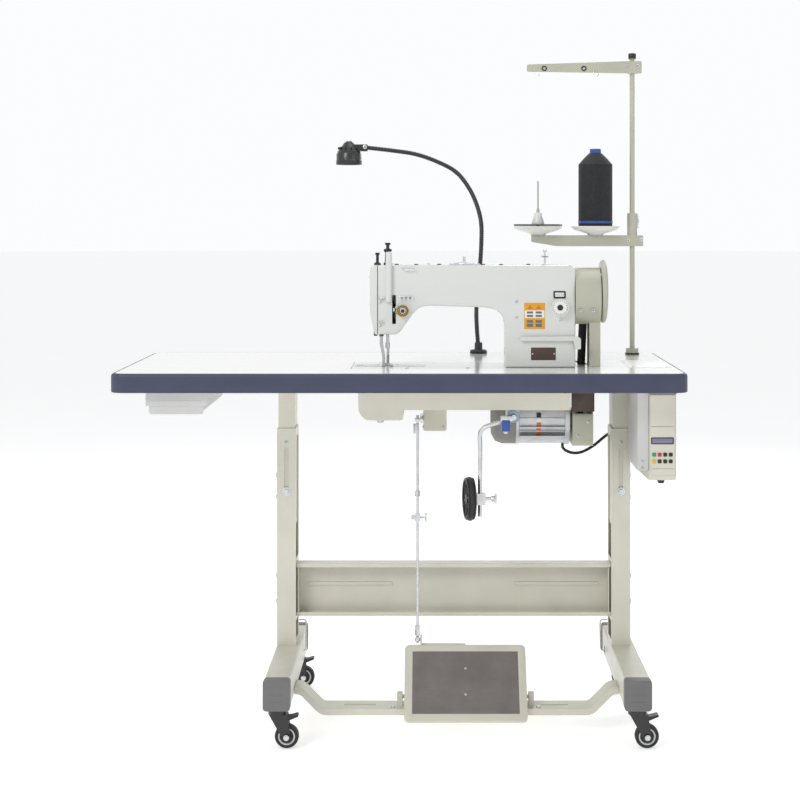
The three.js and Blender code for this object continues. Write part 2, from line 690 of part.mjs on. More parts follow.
function speedUnit() {
  const { left, right, front, back, below, above } = UNIT;
  const z = -LEVER_DROP;
  const body = prism("y", roundRect(left, right, z - below, z + above, 5), front, back);
  const bracket = box(left + 4, right - 4, back - 14, back - 4, z + above - 1, hung);
  const pin = rod("x", [LEVER_Y, z], LEVER_PIN_R, left - LEVER_THICK - 2, left + 1);
  return join(body, bracket, pin);
}
piece(table, "speed_unit", speedUnit(), CREAM);

function speedLever() {
  const right = UNIT.left - 1;
  const left = right - LEVER_THICK;
  const z = -LEVER_DROP;
  const plate = outline([
    [LEVER_Y + 10, z - 9, 7], [LEVER_Y + 10, z + 9, 7], [leverEndY - 8, z + 7, 6],
    [leverEndY - 8, z - 7, 6],
  ]);
  const stud = rod("x", [leverEndY, z], PIVOT_R, ROD_X - EYE_WIDTH / 2 - 3, left + 1);
  const bore = rod("x", [LEVER_Y, z], LEVER_PIN_R + TURN, left - 1, right + 1);
  return cut(join(prism("x", plate, left, right), stud), bore);
}
piece(table, "speed_lever", speedLever(), STEEL);

// Motor with its terminal cap, pulley and belt guard.
const motorZ = -MOTOR_DROP;
const motorRight = beltX - MOTOR_TO_BELT;
const motorLeft = motorRight - MOTOR_LENGTH;
const MOTOR_SHAFT_R = 7;
const guardLeft = motorRight + 5;
const guardRight = beltX + 27;
const GUARD_TOP = 108; // below the table's top
const GUARD_HEIGHT = 79;
const GUARD_WALL = 2.5;

function motorBody() {
  const barrel = rod("x", [MOTOR_Y, motorZ], MOTOR_R, motorLeft, motorRight, 32);
  const fin = (k) => {
    const z = motorZ - 40 + 20 * k;
    return box(motorLeft + 8, motorRight - 12, MOTOR_Y - MOTOR_R - 4, MOTOR_Y, z - 1.5, z + 1.5);
  };
  const plinth = box(motorLeft + 15, motorRight - 15, MOTOR_Y - 35, MOTOR_Y + 35, motorZ, hung);
  const bore = rod("x", [MOTOR_Y, motorZ], MOTOR_SHAFT_R + TURN, motorRight - 25, motorRight + 1);
  return cut(join(barrel, plinth, ...[0, 1, 2, 3, 4].map(fin)), bore);
}
piece(table, "motor_body", motorBody(), GREY);

function motorCap() {
  const r = MOTOR_R + 1;
  const right = motorLeft - GAP;
  const profile = [[0, -55], [r - 22, -55], [r - 6, -46], [r, -30], [r, 0], [0, 0]];
  return turned("x", [right, MOTOR_Y, motorZ], profile, 32);
}
piece(table, "motor_end_cap", motorCap(), GREY);

function motorPulley() {
  const r = LOWER_PULLEY_R;
  const w = BELT_WIDTH / 2 + 2;
  const s = MOTOR_SHAFT_R;
  const start = motorRight - 24 - beltX;
  const profile = [
    [0, start], [s, start], [s, -w - 3], [r + 4, -w - 3], [r + 4, -w], [r - GAP, -w + 1.5],
    [r - GAP, w - 1.5], [r + 4, w], [r + 4, w + 3], [s + 3, w + 3], [s + 3, w + 8], [0, w + 8],
  ];
  return turned("x", [beltX, MOTOR_Y, motorZ], profile, 20);
}
piece(table, "motor_pulley", motorPulley(), GREY);

function lowerGuard() {
  const [top, bottom] = [-GUARD_TOP, -GUARD_TOP - GUARD_HEIGHT];
  const reach = LOWER_PULLEY_R + BELT_THICK + 28;
  const [y0, y1, t] = [MOTOR_Y - reach, MOTOR_Y + reach, GUARD_WALL];
  const shell = cut(
    prism("x", roundRect(y0, y1, bottom, top, 14), guardLeft, guardRight),
    prism("x", roundRect(y0 + t, y1 - t, bottom + t, top + 40, 12), guardLeft + t, guardRight - t),
    rod("x", [MOTOR_Y, motorZ], MOTOR_SHAFT_R + 4, guardLeft - 1, guardLeft + t + 1),
  );
  const bracket = box(guardLeft, guardLeft + t, y1 - 30, y1 - 14, top - 20, hung);
  return join(shell, bracket);
}
piece(table, "lower_belt_guard", lowerGuard(), GUARD_PAINT);

function belt() {
  const loopShape = loop(BELT_THICK);
  loopShape.holes.push(loop(0));
  return prism("x", loopShape, beltX - BELT_WIDTH / 2, beltX + BELT_WIDTH / 2, 10);
}
piece(table, "belt", belt(), BLACK);

// Control box with a finned heat sink on its left and a membrane key panel in front.
const controlTop = hung - 1;
const controlBottom = controlTop - CONTROL_HEIGHT;
const controlRight = CONTROL_LEFT + CONTROL_WIDTH;
const controlBack = CONTROL_FRONT + CONTROL_DEPTH;
const PANEL_THICK = 2;

function controlBox() {
  const side = outline([
    [CONTROL_FRONT + PANEL_THICK + GAP, controlBottom + 8, 8], [controlBack, controlBottom, 10],
    [controlBack, controlTop, 4], [CONTROL_FRONT + PANEL_THICK + GAP, controlTop, 4],
  ]);
  const mounts = [CONTROL_FRONT + 40, controlBack - 30].map((y) =>
    box(CONTROL_LEFT + 14, controlRight - 14, y - 8, y + 8, controlTop - 1, hung),
  );
  return join(prism("x", side, CONTROL_LEFT, controlRight), ...mounts);
}
piece(table, "control_box", controlBox(), CREAM);

const SINK_WIDTH = 24;
function heatSink() {
  const right = CONTROL_LEFT - GAP;
  const left = right - SINK_WIDTH;
  const [y0, y1] = [CONTROL_FRONT + 6, COLUMN_FRONT - 18];
  const side = outline([
    [y0, controlBottom + 28, 6], [y1, controlBottom + 28], [y1, controlTop - 2], [y0, controlTop - 2, 4],
  ]);
  const body = prism("x", side, left, right);
  const pitch = 24;
  const slots = [];
  for (let y = y0 + 12; y < y1 - 8; y += pitch) {
    slots.push(box(left - 1, right - 6, y, y + pitch / 2, controlBottom, controlTop));
  }
  return cut(body, ...slots);
}
piece(table, "control_heat_sink", heatSink(), GREY);

function controlPanel() {
  const face = roundRect(CONTROL_LEFT + 2, controlRight - 2, controlBottom + 20, controlTop - 12, 4);
  return prism("y", face, CONTROL_FRONT, CONTROL_FRONT + PANEL_THICK);
}
piece(table, "control_panel", controlPanel(), WHITE);

// Motor lead: from under the motor, behind the right column, to the back of the control box.
const LEAD_R = 3.5;
function motorLead() {
  const start = [motorRight - 13, MOTOR_Y, motorZ - MOTOR_R - 1];
  const end = [CONTROL_LEFT + 26, controlBack + GAP, controlTop - 94];
  return tube(
    [
      start, [364, 62, -199], [384, 74, -211], [408, 90, -212], [438, 107, -199],
      [466, 116, -178], [500, 118, -157], [530, 108, -142], [550, 84, -135], [555, 56, -134], end,
    ],
    LEAD_R, 8, 30,
  );
}
piece(table, "motor_lead", motorLead(), BLACK);

// Flexible-neck work lamp at the back of the table.
const LAMP_NECK = [
  [0, 9], [-4, 62], [-5, 105], [-1, 158], [4, 213], [7, 270], [6, 314], [-5, 357], [-25, 398],
  [-54, 433], [-98, 457], [-150, 475], [-208, 484], [-270, 491],
];
const LAMP_BASE_R = 20;
const LAMP_HEAD_R = 30;
const neckEnd = LAMP_NECK.at(-1);

function lampStem() {
  const base = turned("z", [LAMP_X, LAMP_Y, 0], [
    [0, GAP], [LAMP_BASE_R, GAP], [LAMP_BASE_R, 6], [LAMP_BASE_R - 3, 9], [9, 9], [8, 24], [0, 24],
  ]);
  const neck = tube(LAMP_NECK.map(([x, z]) => [LAMP_X + x, LAMP_Y, z]), LAMP_R, 8, 28);
  const ball = turned("y", [LAMP_X + neckEnd[0], LAMP_Y, neckEnd[1]], [
    [0, -7], [7, -7], [7, 7], [0, 7],
  ], 16);
  return join(base, neck, ball);
}
piece(table, "lamp_stem", lampStem(), BLACK);

const lampHeadX = LAMP_X + neckEnd[0] - LAMP_HEAD_R - 9;
function lampHead() {
  const top = neckEnd[1] + 13;
  const r = LAMP_HEAD_R;
  const dome = turned("z", [lampHeadX, LAMP_Y, top], [
    [0, 0], [11, -1], [16, -8], [r - 3, -22], [r, -30], [r, -54], [r - 3, -54], [r - 3, -48], [0, -48],
  ]);
  const ears = box(lampHeadX + 10, lampHeadX + r + 14, LAMP_Y - 12, LAMP_Y + 12, top - 22, top - 6);
  const room = box(
    lampHeadX + r, lampHeadX + r + 20, LAMP_Y - 7 - TURN, LAMP_Y + 7 + TURN, top - 40, top + 10,
  );
  return join(dome, cut(ears, room));
}
piece(table, "lamp_head", lampHead(), BLACK);

// Thread stand: a pole with a guide arm above and a spool arm below.
const HUB_R = 12;
function standPole() {
  const nut = 12;
  return join(
    rod("z", [POLE_X, POLE_Y], POLE_R, hung - nut, POLE_HEIGHT),
    rod("z", [POLE_X, POLE_Y], 15, GAP, 15),
    rod("z", [POLE_X, POLE_Y], 13, hung - nut, hung, 6),
    rod("z", [POLE_X, POLE_Y], POLE_R + 2.5, POLE_HEIGHT - 2, POLE_HEIGHT + 12),
  );
}
piece(table, "stand_pole", standPole(), GUARD_PAINT);

function guideArm() {
  const z = GUIDE_ARM_Z;
  const [left, right] = [POLE_X - 250, POLE_X + 21];
  const side = outline([
    [left, z + 4, 4], [right - 30, z, 0], [right, z, 3], [right, z + 29, 3], [right - 30, z + 29, 0],
    [left, z + 21, 4],
  ]);
  const arm = prism("y", side, POLE_Y - HUB_R - 3, POLE_Y - HUB_R + 1);
  const hub = rod("z", [POLE_X, POLE_Y], HUB_R, z, z + 29, 20);
  return cut(join(arm, hub), rod("z", [POLE_X, POLE_Y], POLE_R + TURN, z - 1, z + 30));
}
piece(table, "thread_guide_arm", guideArm(), GUARD_PAINT);

const ARM_CHANNEL = { depth: 24, height: 26, wall: 2.5 };
const PIN_R = 4;
function spoolArm() {
  const { depth, height, wall } = ARM_CHANNEL;
  const z = SPOOL_ARM_Z;
  const [left, right] = [EMPTY_SPOOL_X - 16, POLE_X + 25];
  const [y0, y1] = [POLE_Y - depth / 2, POLE_Y + depth / 2];
  const side = outline([
    [left, z + 10, 3], [left + 60, z, 6], [right, z, 3], [right, z + height, 3], [left, z + height, 3],
  ]);
  const channel = cut(
    prism("y", side, y0, y1),
    box(left + wall, right - wall, y0 + wall, y1 - wall, z - 1, z + height - wall),
  );
  const hub = rod("z", [POLE_X, POLE_Y], HUB_R, z + 2, z + 78, 20);
  const plate = (x) =>
    turned("z", [x, POLE_Y, z + height], [
      [0, -1], [16, -1], [20, 4], [52, 14], [58, 20], [56, 21], [50, 17], [16, 10],
      [PIN_R, 10], [PIN_R, 60], [PIN_R / 2, 64], [PIN_R / 2, 128], [0, 128],
    ], 18);
  return cut(
    join(channel, hub, plate(CONE_X), plate(EMPTY_SPOOL_X)),
    rod("z", [POLE_X, POLE_Y], POLE_R + TURN, z - 1, z + 80),
  );
}
piece(table, "spool_arm", spoolArm(), GUARD_PAINT);

const coneSeat = SPOOL_ARM_Z + ARM_CHANNEL.height + 10 + GAP;
function threadCone() {
  const r = PIN_R + 2;
  return turned("z", [CONE_X, POLE_Y, coneSeat], [
    [r, 0], [15, 0], [39, 5.6], [41, 6.5], [41, 10], [39.5, 11], [39.5, 157], [13, 184], [13, 194],
    [r, 194], [r, 0],
  ], 20);
}
piece(table, "thread_cone", threadCone(), THREAD);

function emptySpool() {
  const r = PIN_R + 1;
  return turned("z", [EMPTY_SPOOL_X, POLE_Y, coneSeat + 12], [
    [r, 0], [56, 0], [58, 2], [56, 4], [15, 4], [14, 8], [9, 30], [r, 31], [r, 0],
  ], 20);
}
piece(table, "spool_disc", emptySpool(), BLACK);

// ---------------------------------------------------------------- machine head
const head = groupAt(table, 0, 0, 0);
const HEAD_LEFT = BED_LEFT + 39;
const headRight = HEAD_LEFT + HEAD_WIDTH;
const faceRight = HEAD_LEFT + FACE_DEPTH;
const armLeft = faceRight + GAP;
const pillarRight = bedRight + PILLAR_OVERHANG;
const pillarLeft = pillarRight - PILLAR_WIDTH;
const NEEDLE_BAR_R = 3.6;
const PRESSER_BAR_R = 3.5;
const WALKING_BAR_R = 3;
const presserX = NEEDLE_X - 14;
const walkingY = needleY + 24;
const cavityRight = NEEDLE_X + 21;
const TAKE_UP = { x0: NEEDLE_X + 12.5, x1: NEEDLE_X + 17.5, y: needleY + 16, z: 125, pin: 4, swing: 31 };
const STITCH = { x: pillarRight - 34, z: ARM_UNDERSIDE - 2, stub: 4 };
const TENSION = { x: headRight + 10, z: ARM_UNDERSIDE - 9, stub: 3 };
const REVERSE = { x: pillarRight - 11, z: 62, stub: 4 };
const WINDER = { x: pillarLeft - 89, stub: 3.5 };
const MAIN_SHAFT_R = 8;

function machineArm() {
  const side = outline([
    [armLeft, HEAD_BOTTOM], [headRight, HEAD_BOTTOM, 10], [headRight + 45, ARM_UNDERSIDE + 2, 24],
    [pillarLeft, ARM_UNDERSIDE - 4, PILLAR_FILLET], [pillarLeft, GAP], [pillarRight, GAP],
    [pillarRight, ARM_HEIGHT, 14], [armLeft, ARM_HEIGHT],
  ]);
  const cavity = box(
    armLeft - 1, cavityRight, armFront + 8, walkingY + 16, HEAD_BOTTOM + 10, ARM_HEIGHT - 12,
  );
  const guide = (x, y, r) => rod("z", [x, y], r + TURN, HEAD_BOTTOM - 1, HEAD_BOTTOM + 11);
  const front = (at, depth) =>
    rod("y", [at.x, at.z], at.stub + TURN, armFront - 1, armFront + depth);
  const t = TAKE_UP;
  const [y0, y1] = [armFront + ARM_WALL, armBack - ARM_WALL];
  const holes = [
    cavity,
    box(cavityRight + 10, pillarRight - 22, y0, y1, ARM_UNDERSIDE + ARM_WALL, ARM_HEIGHT - ARM_WALL),
    box(pillarLeft + ARM_WALL, pillarRight - 22, y0, y1, -1, ARM_HEIGHT - ARM_WALL),
    rod("x", [needleY, SHAFT_HEIGHT + 8], 14, cavityRight - 1, cavityRight + 11),
    guide(NEEDLE_X, needleY, NEEDLE_BAR_R),
    guide(presserX, needleY, PRESSER_BAR_R),
    guide(NEEDLE_X, walkingY, WALKING_BAR_R),
    box(t.x0 - 1.5, t.x1 + 1.5, armFront - 1, armFront + 9, t.z - t.swing, t.z + t.swing),
    front(STITCH, 14), front(TENSION, 10), front(REVERSE, 12),
    rod("z", [WINDER.x, needleY], WINDER.stub + TURN, ARM_HEIGHT - 12, ARM_HEIGHT + 1),
    rod("x", [needleY, SHAFT_HEIGHT], MAIN_SHAFT_R + TURN, pillarRight - 20, pillarRight + 1, 20),
  ];
  const body = cut(prism("y", side, armFront, armBack, 4, 5), ...holes);
  return join(body, rod("x", [t.y, t.z], t.pin, t.x0 - 1, cavityRight + 1));
}
piece(head, "machine_arm", machineArm(), HEAD_PAINT);

function facePlate() {
  const slant = HEAD_BOTTOM + 46;
  const side = outline([
    [HEAD_LEFT, slant, 12], [HEAD_LEFT + 10, HEAD_BOTTOM, 4], [faceRight, HEAD_BOTTOM],
    [faceRight, ARM_HEIGHT], [HEAD_LEFT, ARM_HEIGHT, 12],
  ]);
  const hollow = box(
    HEAD_LEFT + 4, faceRight + 1, armFront + 8, armBack - 8, slant, ARM_HEIGHT - 12,
  );
  return cut(prism("y", side, armFront, armBack, 4, 1), hollow);
}
piece(head, "face_plate", facePlate(), HEAD_PAINT);

const hookZ = -BED_PLATE - 27;
const HOOK_SHAFT_R = 5;
const HOOK_R = 20;
const lugs = [NEEDLE_X + 59, bedRight - 72];
const LUG_WIDTH = 10;

function machineBed() {
  const top = prism("z", roundRect(BED_LEFT, bedRight, bedFront, BED_REAR, 3), -BED_PLATE, 0, 2);
  const i = BED_PLATE;
  const rim = box(BED_LEFT + i, bedRight - i, bedFront + i, BED_REAR - i, -bedBox, 1 - BED_PLATE);
  const w = i + BED_WALL;
  const hollow = box(
    BED_LEFT + w, bedRight - w, bedFront + w, BED_REAR - w, -bedBox - 1, -BED_PLATE,
  );
  const lug = (x) => box(x, x + LUG_WIDTH, needleY - 14, needleY + 14, hookZ - 14, 1 - BED_PLATE);
  const bore = rod("x", [needleY, hookZ], HOOK_SHAFT_R + TURN, lugs[0] - 1, lugs[1] + LUG_WIDTH + 1);
  const needleHole = rod("z", [NEEDLE_X, needleY], 3, -BED_PLATE - 1, 1);
  return cut(join(cut(join(top, rim), hollow), ...lugs.map(lug)), bore, needleHole);
}
piece(head, "machine_bed", machineBed(), HEAD_PAINT);

function rotaryHook() {
  const [s, r] = [HOOK_SHAFT_R, HOOK_R];
  const end = lugs[1] + LUG_WIDTH + 20;
  const face = NEEDLE_X + 5;
  return turned("x", [0, needleY, hookZ], [
    [0, face], [r - 6, face], [r, face + 4], [r, face + 22], [r - 4, face + 24], [s, face + 24],
    [s, end], [0, end],
  ], 20);
}
piece(head, "rotary_hook", rotaryHook(), STEEL);

// Guard over the handwheel's pulley, open below for the belt, with a leg to the table.
const COVER_R = 63;
const COVER_WALL = 3;
const coverLeft = pillarRight + GAP;
const coverRight = beltX + 33;
const coverZ = SHAFT_HEIGHT - 11;

function upperGuard() {
  const t = COVER_WALL;
  const centre = [needleY, coverZ];
  const legLeft = beltX + BELT_WIDTH / 2 + 4;
  const shell = cut(
    rod("x", centre, COVER_R, coverLeft, coverRight, 28),
    rod("x", centre, COVER_R - 4, coverLeft + t, coverRight - t, 28),
  );
  const leg = box(legLeft, coverRight, needleY - 30, needleY + 30, GAP, coverZ - COVER_R + 12);
  return cut(
    join(shell, leg),
    beltPassage(coverLeft + t, legLeft - GAP, -1, SHAFT_HEIGHT),
    rod("x", [needleY, SHAFT_HEIGHT], MAIN_SHAFT_R + 2, coverLeft - 1, coverRight + 1),
    box(legLeft - 1, coverRight - t, needleY - 27, needleY + 27, 6, coverZ - COVER_R + 20),
  );
}
piece(head, "upper_belt_guard", upperGuard(), GUARD_PAINT);

function handwheel() {
  const [r, s, wheel, w] = [UPPER_PULLEY_R, MAIN_SHAFT_R, HANDWHEEL_D / 2, BELT_WIDTH / 2];
  const near = coverRight + 2;
  const far = near + HANDWHEEL_WIDTH;
  return turned("x", [0, needleY, SHAFT_HEIGHT], [
    [0, pillarRight - 18], [s, pillarRight - 18], [s, beltX - w - 3], [r + 4, beltX - w - 3],
    [r + 4, beltX - w - 1], [r - GAP, beltX - w], [r - GAP, beltX + w],
    [r + 4, beltX + w + 1], [r + 4, beltX + w + 3], [s, beltX + w + 3], [s, near],
    [wheel - 6, near], [wheel, near + 4], [wheel, far - 4], [wheel - 4, far], [wheel - 10, far],
    [wheel - 14, far - 8], [20, far - 8], [18, far - 1], [0, far - 1],
  ], 26);
}
piece(head, "handwheel", handwheel(), GUARD_PAINT);

function needleBar() {
  const at = [NEEDLE_X, needleY];
  return join(
    rod("z", at, NEEDLE_BAR_R, 38, ARM_HEIGHT - 42),
    rod("z", at, 5, 38, 50),
    rod("z", at, 0.9, 8, 39, 8),
  );
}
piece(head, "needle_bar", needleBar(), STEEL);

const SOLE_Z = 1.2;
const SOLE_THICK = 3;

function presserFoot() {
  const top = SOLE_Z + SOLE_THICK;
  const slotHalf = 5;
  const shank = outline([
    [presserX - 4, 50], [presserX + 3.8, 50], [NEEDLE_X - slotHalf - 0.5, 20],
    [NEEDLE_X - slotHalf - 0.5, SOLE_Z], [NEEDLE_X - 12, SOLE_Z], [NEEDLE_X - 12, 20],
  ]);
  const sole = cut(
    box(NEEDLE_X - 12, NEEDLE_X + 12, needleY - 26, needleY + 14, SOLE_Z, top),
    box(NEEDLE_X - slotHalf, NEEDLE_X + slotHalf, needleY - 27, needleY + 8, SOLE_Z - 1, top + 1),
  );
  const bar = rod("z", [presserX, needleY], PRESSER_BAR_R, 48, ARM_HEIGHT - 42);
  return join(sole, prism("y", shank, needleY - 6, needleY + 6), bar);
}
piece(head, "presser_foot", presserFoot(), STEEL);

function walkingFoot() {
  const y = needleY;
  const back = walkingY + WALKING_BAR_R;
  const front = walkingY - WALKING_BAR_R;
  const top = SOLE_Z + SOLE_THICK;
  const side = outline([
    [y - 10, SOLE_Z], [y + 6, SOLE_Z], [y + 7, top + 2], [y + 16, top + 4], [back, 18], [back, 50],
    [front, 50], [front, 22], [y + 6, 12], [y + 2, top], [y - 10, top],
  ]);
  const foot = cut(
    prism("x", side, NEEDLE_X - 3, NEEDLE_X + 3),
    rod("z", [NEEDLE_X, y], 1.9, 0, 20, 10),
  );
  return join(foot, rod("z", [NEEDLE_X, walkingY], WALKING_BAR_R, 48, ARM_HEIGHT - 60));
}
piece(head, "walking_foot", walkingFoot(), STEEL);

function takeUpLever() {
  const { x0, x1, y, z, pin } = TAKE_UP;
  const tip = armFront - 16;
  const arm = outline([[y, z - 5], [y, z + 5], [tip, z + 4, 3], [tip, z - 4, 3]]);
  return cut(
    join(prism("x", arm, x0 + 1, x1 - 1), rod("x", [y, z], pin + 4, x0, x1)),
    rod("x", [y, z], pin + TURN, x0 - 1, x1 + 1),
    rod("x", [tip + 5, z], 1.5, x0, x1, 8),
  );
}
piece(head, "take_up_lever", takeUpLever(), STEEL);

function reverseLever() {
  const { x, z, stub } = REVERSE;
  const left = x - 109;
  const bar = outline([
    [left, z - 4, 3], [x + 6, z - 4, 2], [x + 10, z - 22, 3], [x + 22, z - 22, 3],
    [x + 22, z + 2, 4], [x + 12, z + 6, 4], [left, z + 5, 4],
  ]);
  return join(
    prism("y", bar, armFront - 10, armFront - 4),
    rod("y", [x, z], stub, armFront - 5, armFront + 10),
  );
}
piece(head, "reverse_lever", reverseLever(), STEEL);

function stitchDial() {
  const { x, z, stub } = STITCH;
  return turned("y", [x, armFront, z], [
    [0, -18], [15, -18], [18.5, -15], [18.5, -3], [14, -1], [stub, -1], [stub, 12], [0, 12],
  ], 20);
}
piece(head, "stitch_dial", stitchDial(), WHITE);

function tensionDial() {
  const { x, z, stub } = TENSION;
  return turned("y", [x, armFront, z], [
    [0, -24], [6, -24], [6, -16], [11, -15], [13, -12], [13, -8], [10, -6], [10, -1],
    [stub, -1], [stub, 8], [0, 8],
  ], 16);
}
piece(head, "tension_dial", tensionDial(), STEEL);

function bobbinWinder() {
  const r = WINDER.stub;
  return turned("z", [WINDER.x, needleY, ARM_HEIGHT], [
    [0, -10], [r, -10], [r, 1], [24, 1], [24, 4], [10, 6], [3, 7], [3, 19], [0, 19],
  ], 16);
}
piece(head, "bobbin_winder", bobbinWinder(), STEEL);

export default machine;
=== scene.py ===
"""Looks of an industrial walking-foot sewing machine on its rolling table.

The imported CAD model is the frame: every piece here is placed from its boxes.
Metres, +Z up, +X to the operator's right, the operator stands at -Y.
"""
import json
import math

import bmesh
import bpy
from mathutils import Matrix, Vector


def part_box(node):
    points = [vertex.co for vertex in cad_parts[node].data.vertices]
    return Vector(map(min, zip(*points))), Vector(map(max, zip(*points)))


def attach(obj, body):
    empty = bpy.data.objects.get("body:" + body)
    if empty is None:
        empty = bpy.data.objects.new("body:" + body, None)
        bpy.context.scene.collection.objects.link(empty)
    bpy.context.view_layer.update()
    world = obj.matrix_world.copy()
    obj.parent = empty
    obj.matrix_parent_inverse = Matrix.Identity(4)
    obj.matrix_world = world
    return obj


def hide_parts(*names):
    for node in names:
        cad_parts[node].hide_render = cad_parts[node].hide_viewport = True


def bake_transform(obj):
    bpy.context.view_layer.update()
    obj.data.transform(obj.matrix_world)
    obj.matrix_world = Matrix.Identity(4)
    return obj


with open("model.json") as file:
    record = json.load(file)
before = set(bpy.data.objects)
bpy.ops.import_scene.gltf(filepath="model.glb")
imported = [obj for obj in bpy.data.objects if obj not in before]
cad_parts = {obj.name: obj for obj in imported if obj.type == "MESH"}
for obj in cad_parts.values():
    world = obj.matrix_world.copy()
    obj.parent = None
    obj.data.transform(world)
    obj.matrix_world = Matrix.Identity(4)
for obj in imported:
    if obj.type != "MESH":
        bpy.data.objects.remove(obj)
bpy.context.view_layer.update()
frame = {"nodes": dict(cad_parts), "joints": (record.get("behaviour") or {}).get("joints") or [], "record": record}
NODES = frame["nodes"]
SLOT_OF = {part["node"]: part["material_slot"] for part in frame["record"]["subparts"]}
CORNERS = ("front_left", "front_right", "rear_left", "rear_right")
MM = 0.001


class Box:
    """The box of one or more CAD nodes: x0, x1, y0, y1, z0, z1 and the middles x, y, z."""

    def __init__(self, *nodes):
        lows, highs = zip(*(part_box(node) for node in nodes))
        self.x0, self.y0, self.z0 = (min(low[k] for low in lows) for k in range(3))
        self.x1, self.y1, self.z1 = (max(high[k] for high in highs) for k in range(3))
        self.x, self.y, self.z = ((a + b) / 2 for a, b in
                                  ((self.x0, self.x1), (self.y0, self.y1), (self.z0, self.z1)))


def at(joint):
    """The point on a joint's axis, from the record."""
    return Vector(next(j for j in frame["joints"] if j["name"] == joint)["pos_m"])


# ---------------------------------------------------------------- camera, light, floor
def make_camera():
    data = bpy.data.cameras.new("camera")
    data.lens = 80.6
    data.sensor_width = 36
    data.shift_x = -0.044
    data.shift_y = -0.225
    data.clip_end = 200
    camera = bpy.data.objects.new("camera", data)
    camera.location = (0.0747, -4.0, 1.098)
    camera.rotation_euler = (math.radians(90), 0, 0)
    bpy.context.scene.collection.objects.link(camera)
    bpy.context.scene.camera = camera


def area_light(name, place, target, size, power, colour=(1, 1, 1)):
    data = bpy.data.lights.new(name, "AREA")
    data.shape = "DISK"
    data.size = size
    data.energy = power
    data.color = colour
    lamp = bpy.data.objects.new(name, data)
    lamp.location = place
    lamp.rotation_euler = (Vector(target) - Vector(place)).to_track_quat("-Z", "Y").to_euler()
    bpy.context.scene.collection.objects.link(lamp)


def make_studio():
    scene = bpy.context.scene
    scene.view_settings.view_transform = "Standard"
    world = bpy.data.worlds.new("studio")
    world.use_nodes = True
    nodes, links = world.node_tree.nodes, world.node_tree.links
    background = nodes["Background"]
    background.inputs["Color"].default_value = (0.98, 0.99, 1.0, 1)
    seen = nodes.new("ShaderNodeMapRange")
    seen.inputs["To Min"].default_value = 0.44
    seen.inputs["To Max"].default_value = 0.99
    path, either = nodes.new("ShaderNodeLightPath"), nodes.new("ShaderNodeMath")
    either.operation = "MAXIMUM"
    links.new(path.outputs["Is Camera Ray"], either.inputs[0])
    links.new(path.outputs["Is Glossy Ray"], either.inputs[1])
    links.new(either.outputs["Value"], seen.inputs["Value"])
    links.new(seen.outputs["Result"], background.inputs["Strength"])
    scene.world = world
    middle = (0, 0, 0.7)
    area_light("key", (-2.4, -3.4, 3.2), middle, 1.8, 74, (1.0, 0.99, 0.97))
    area_light("fill", (3.2, -3.0, 1.8), middle, 2.5, 12, (0.97, 0.98, 1.0))
    area_light("top", (0.2, 0.6, 4.0), middle, 2.6, 30)
    area_light("back", (1.5, 3.6, 2.6), middle, 2.4, 24)
    bm = bmesh.new()
    bmesh.ops.create_circle(bm, cap_ends=True, segments=96, radius=60)
    floor = bpy.data.objects.new("floor", bpy.data.meshes.new("floor"))
    bm.to_mesh(floor.data)
    bm.free()
    floor.location.z = -0.0006
    paper = surface("floor_paper", (0.84, 0.84, 0.85), 0.8, variation=0.004, mottle=0.8, grain=300,
                    bump=0.02)
    paper.node_tree.nodes["Principled BSDF"].inputs["Emission Color"].default_value = (1, 1, 1, 1)
    paper.node_tree.nodes["Principled BSDF"].inputs["Emission Strength"].default_value = 0.5
    floor.data.materials.append(paper)
    scene.collection.objects.link(floor)


# ---------------------------------------------------------------- materials
def linear(code):
    """Linear RGB of an sRGB hex colour."""
    channels = [int(code[i:i + 2], 16) / 255 for i in (1, 3, 5)]
    return tuple(c / 12.92 if c <= 0.04045 else ((c + 0.055) / 1.055) ** 2.4 for c in channels)


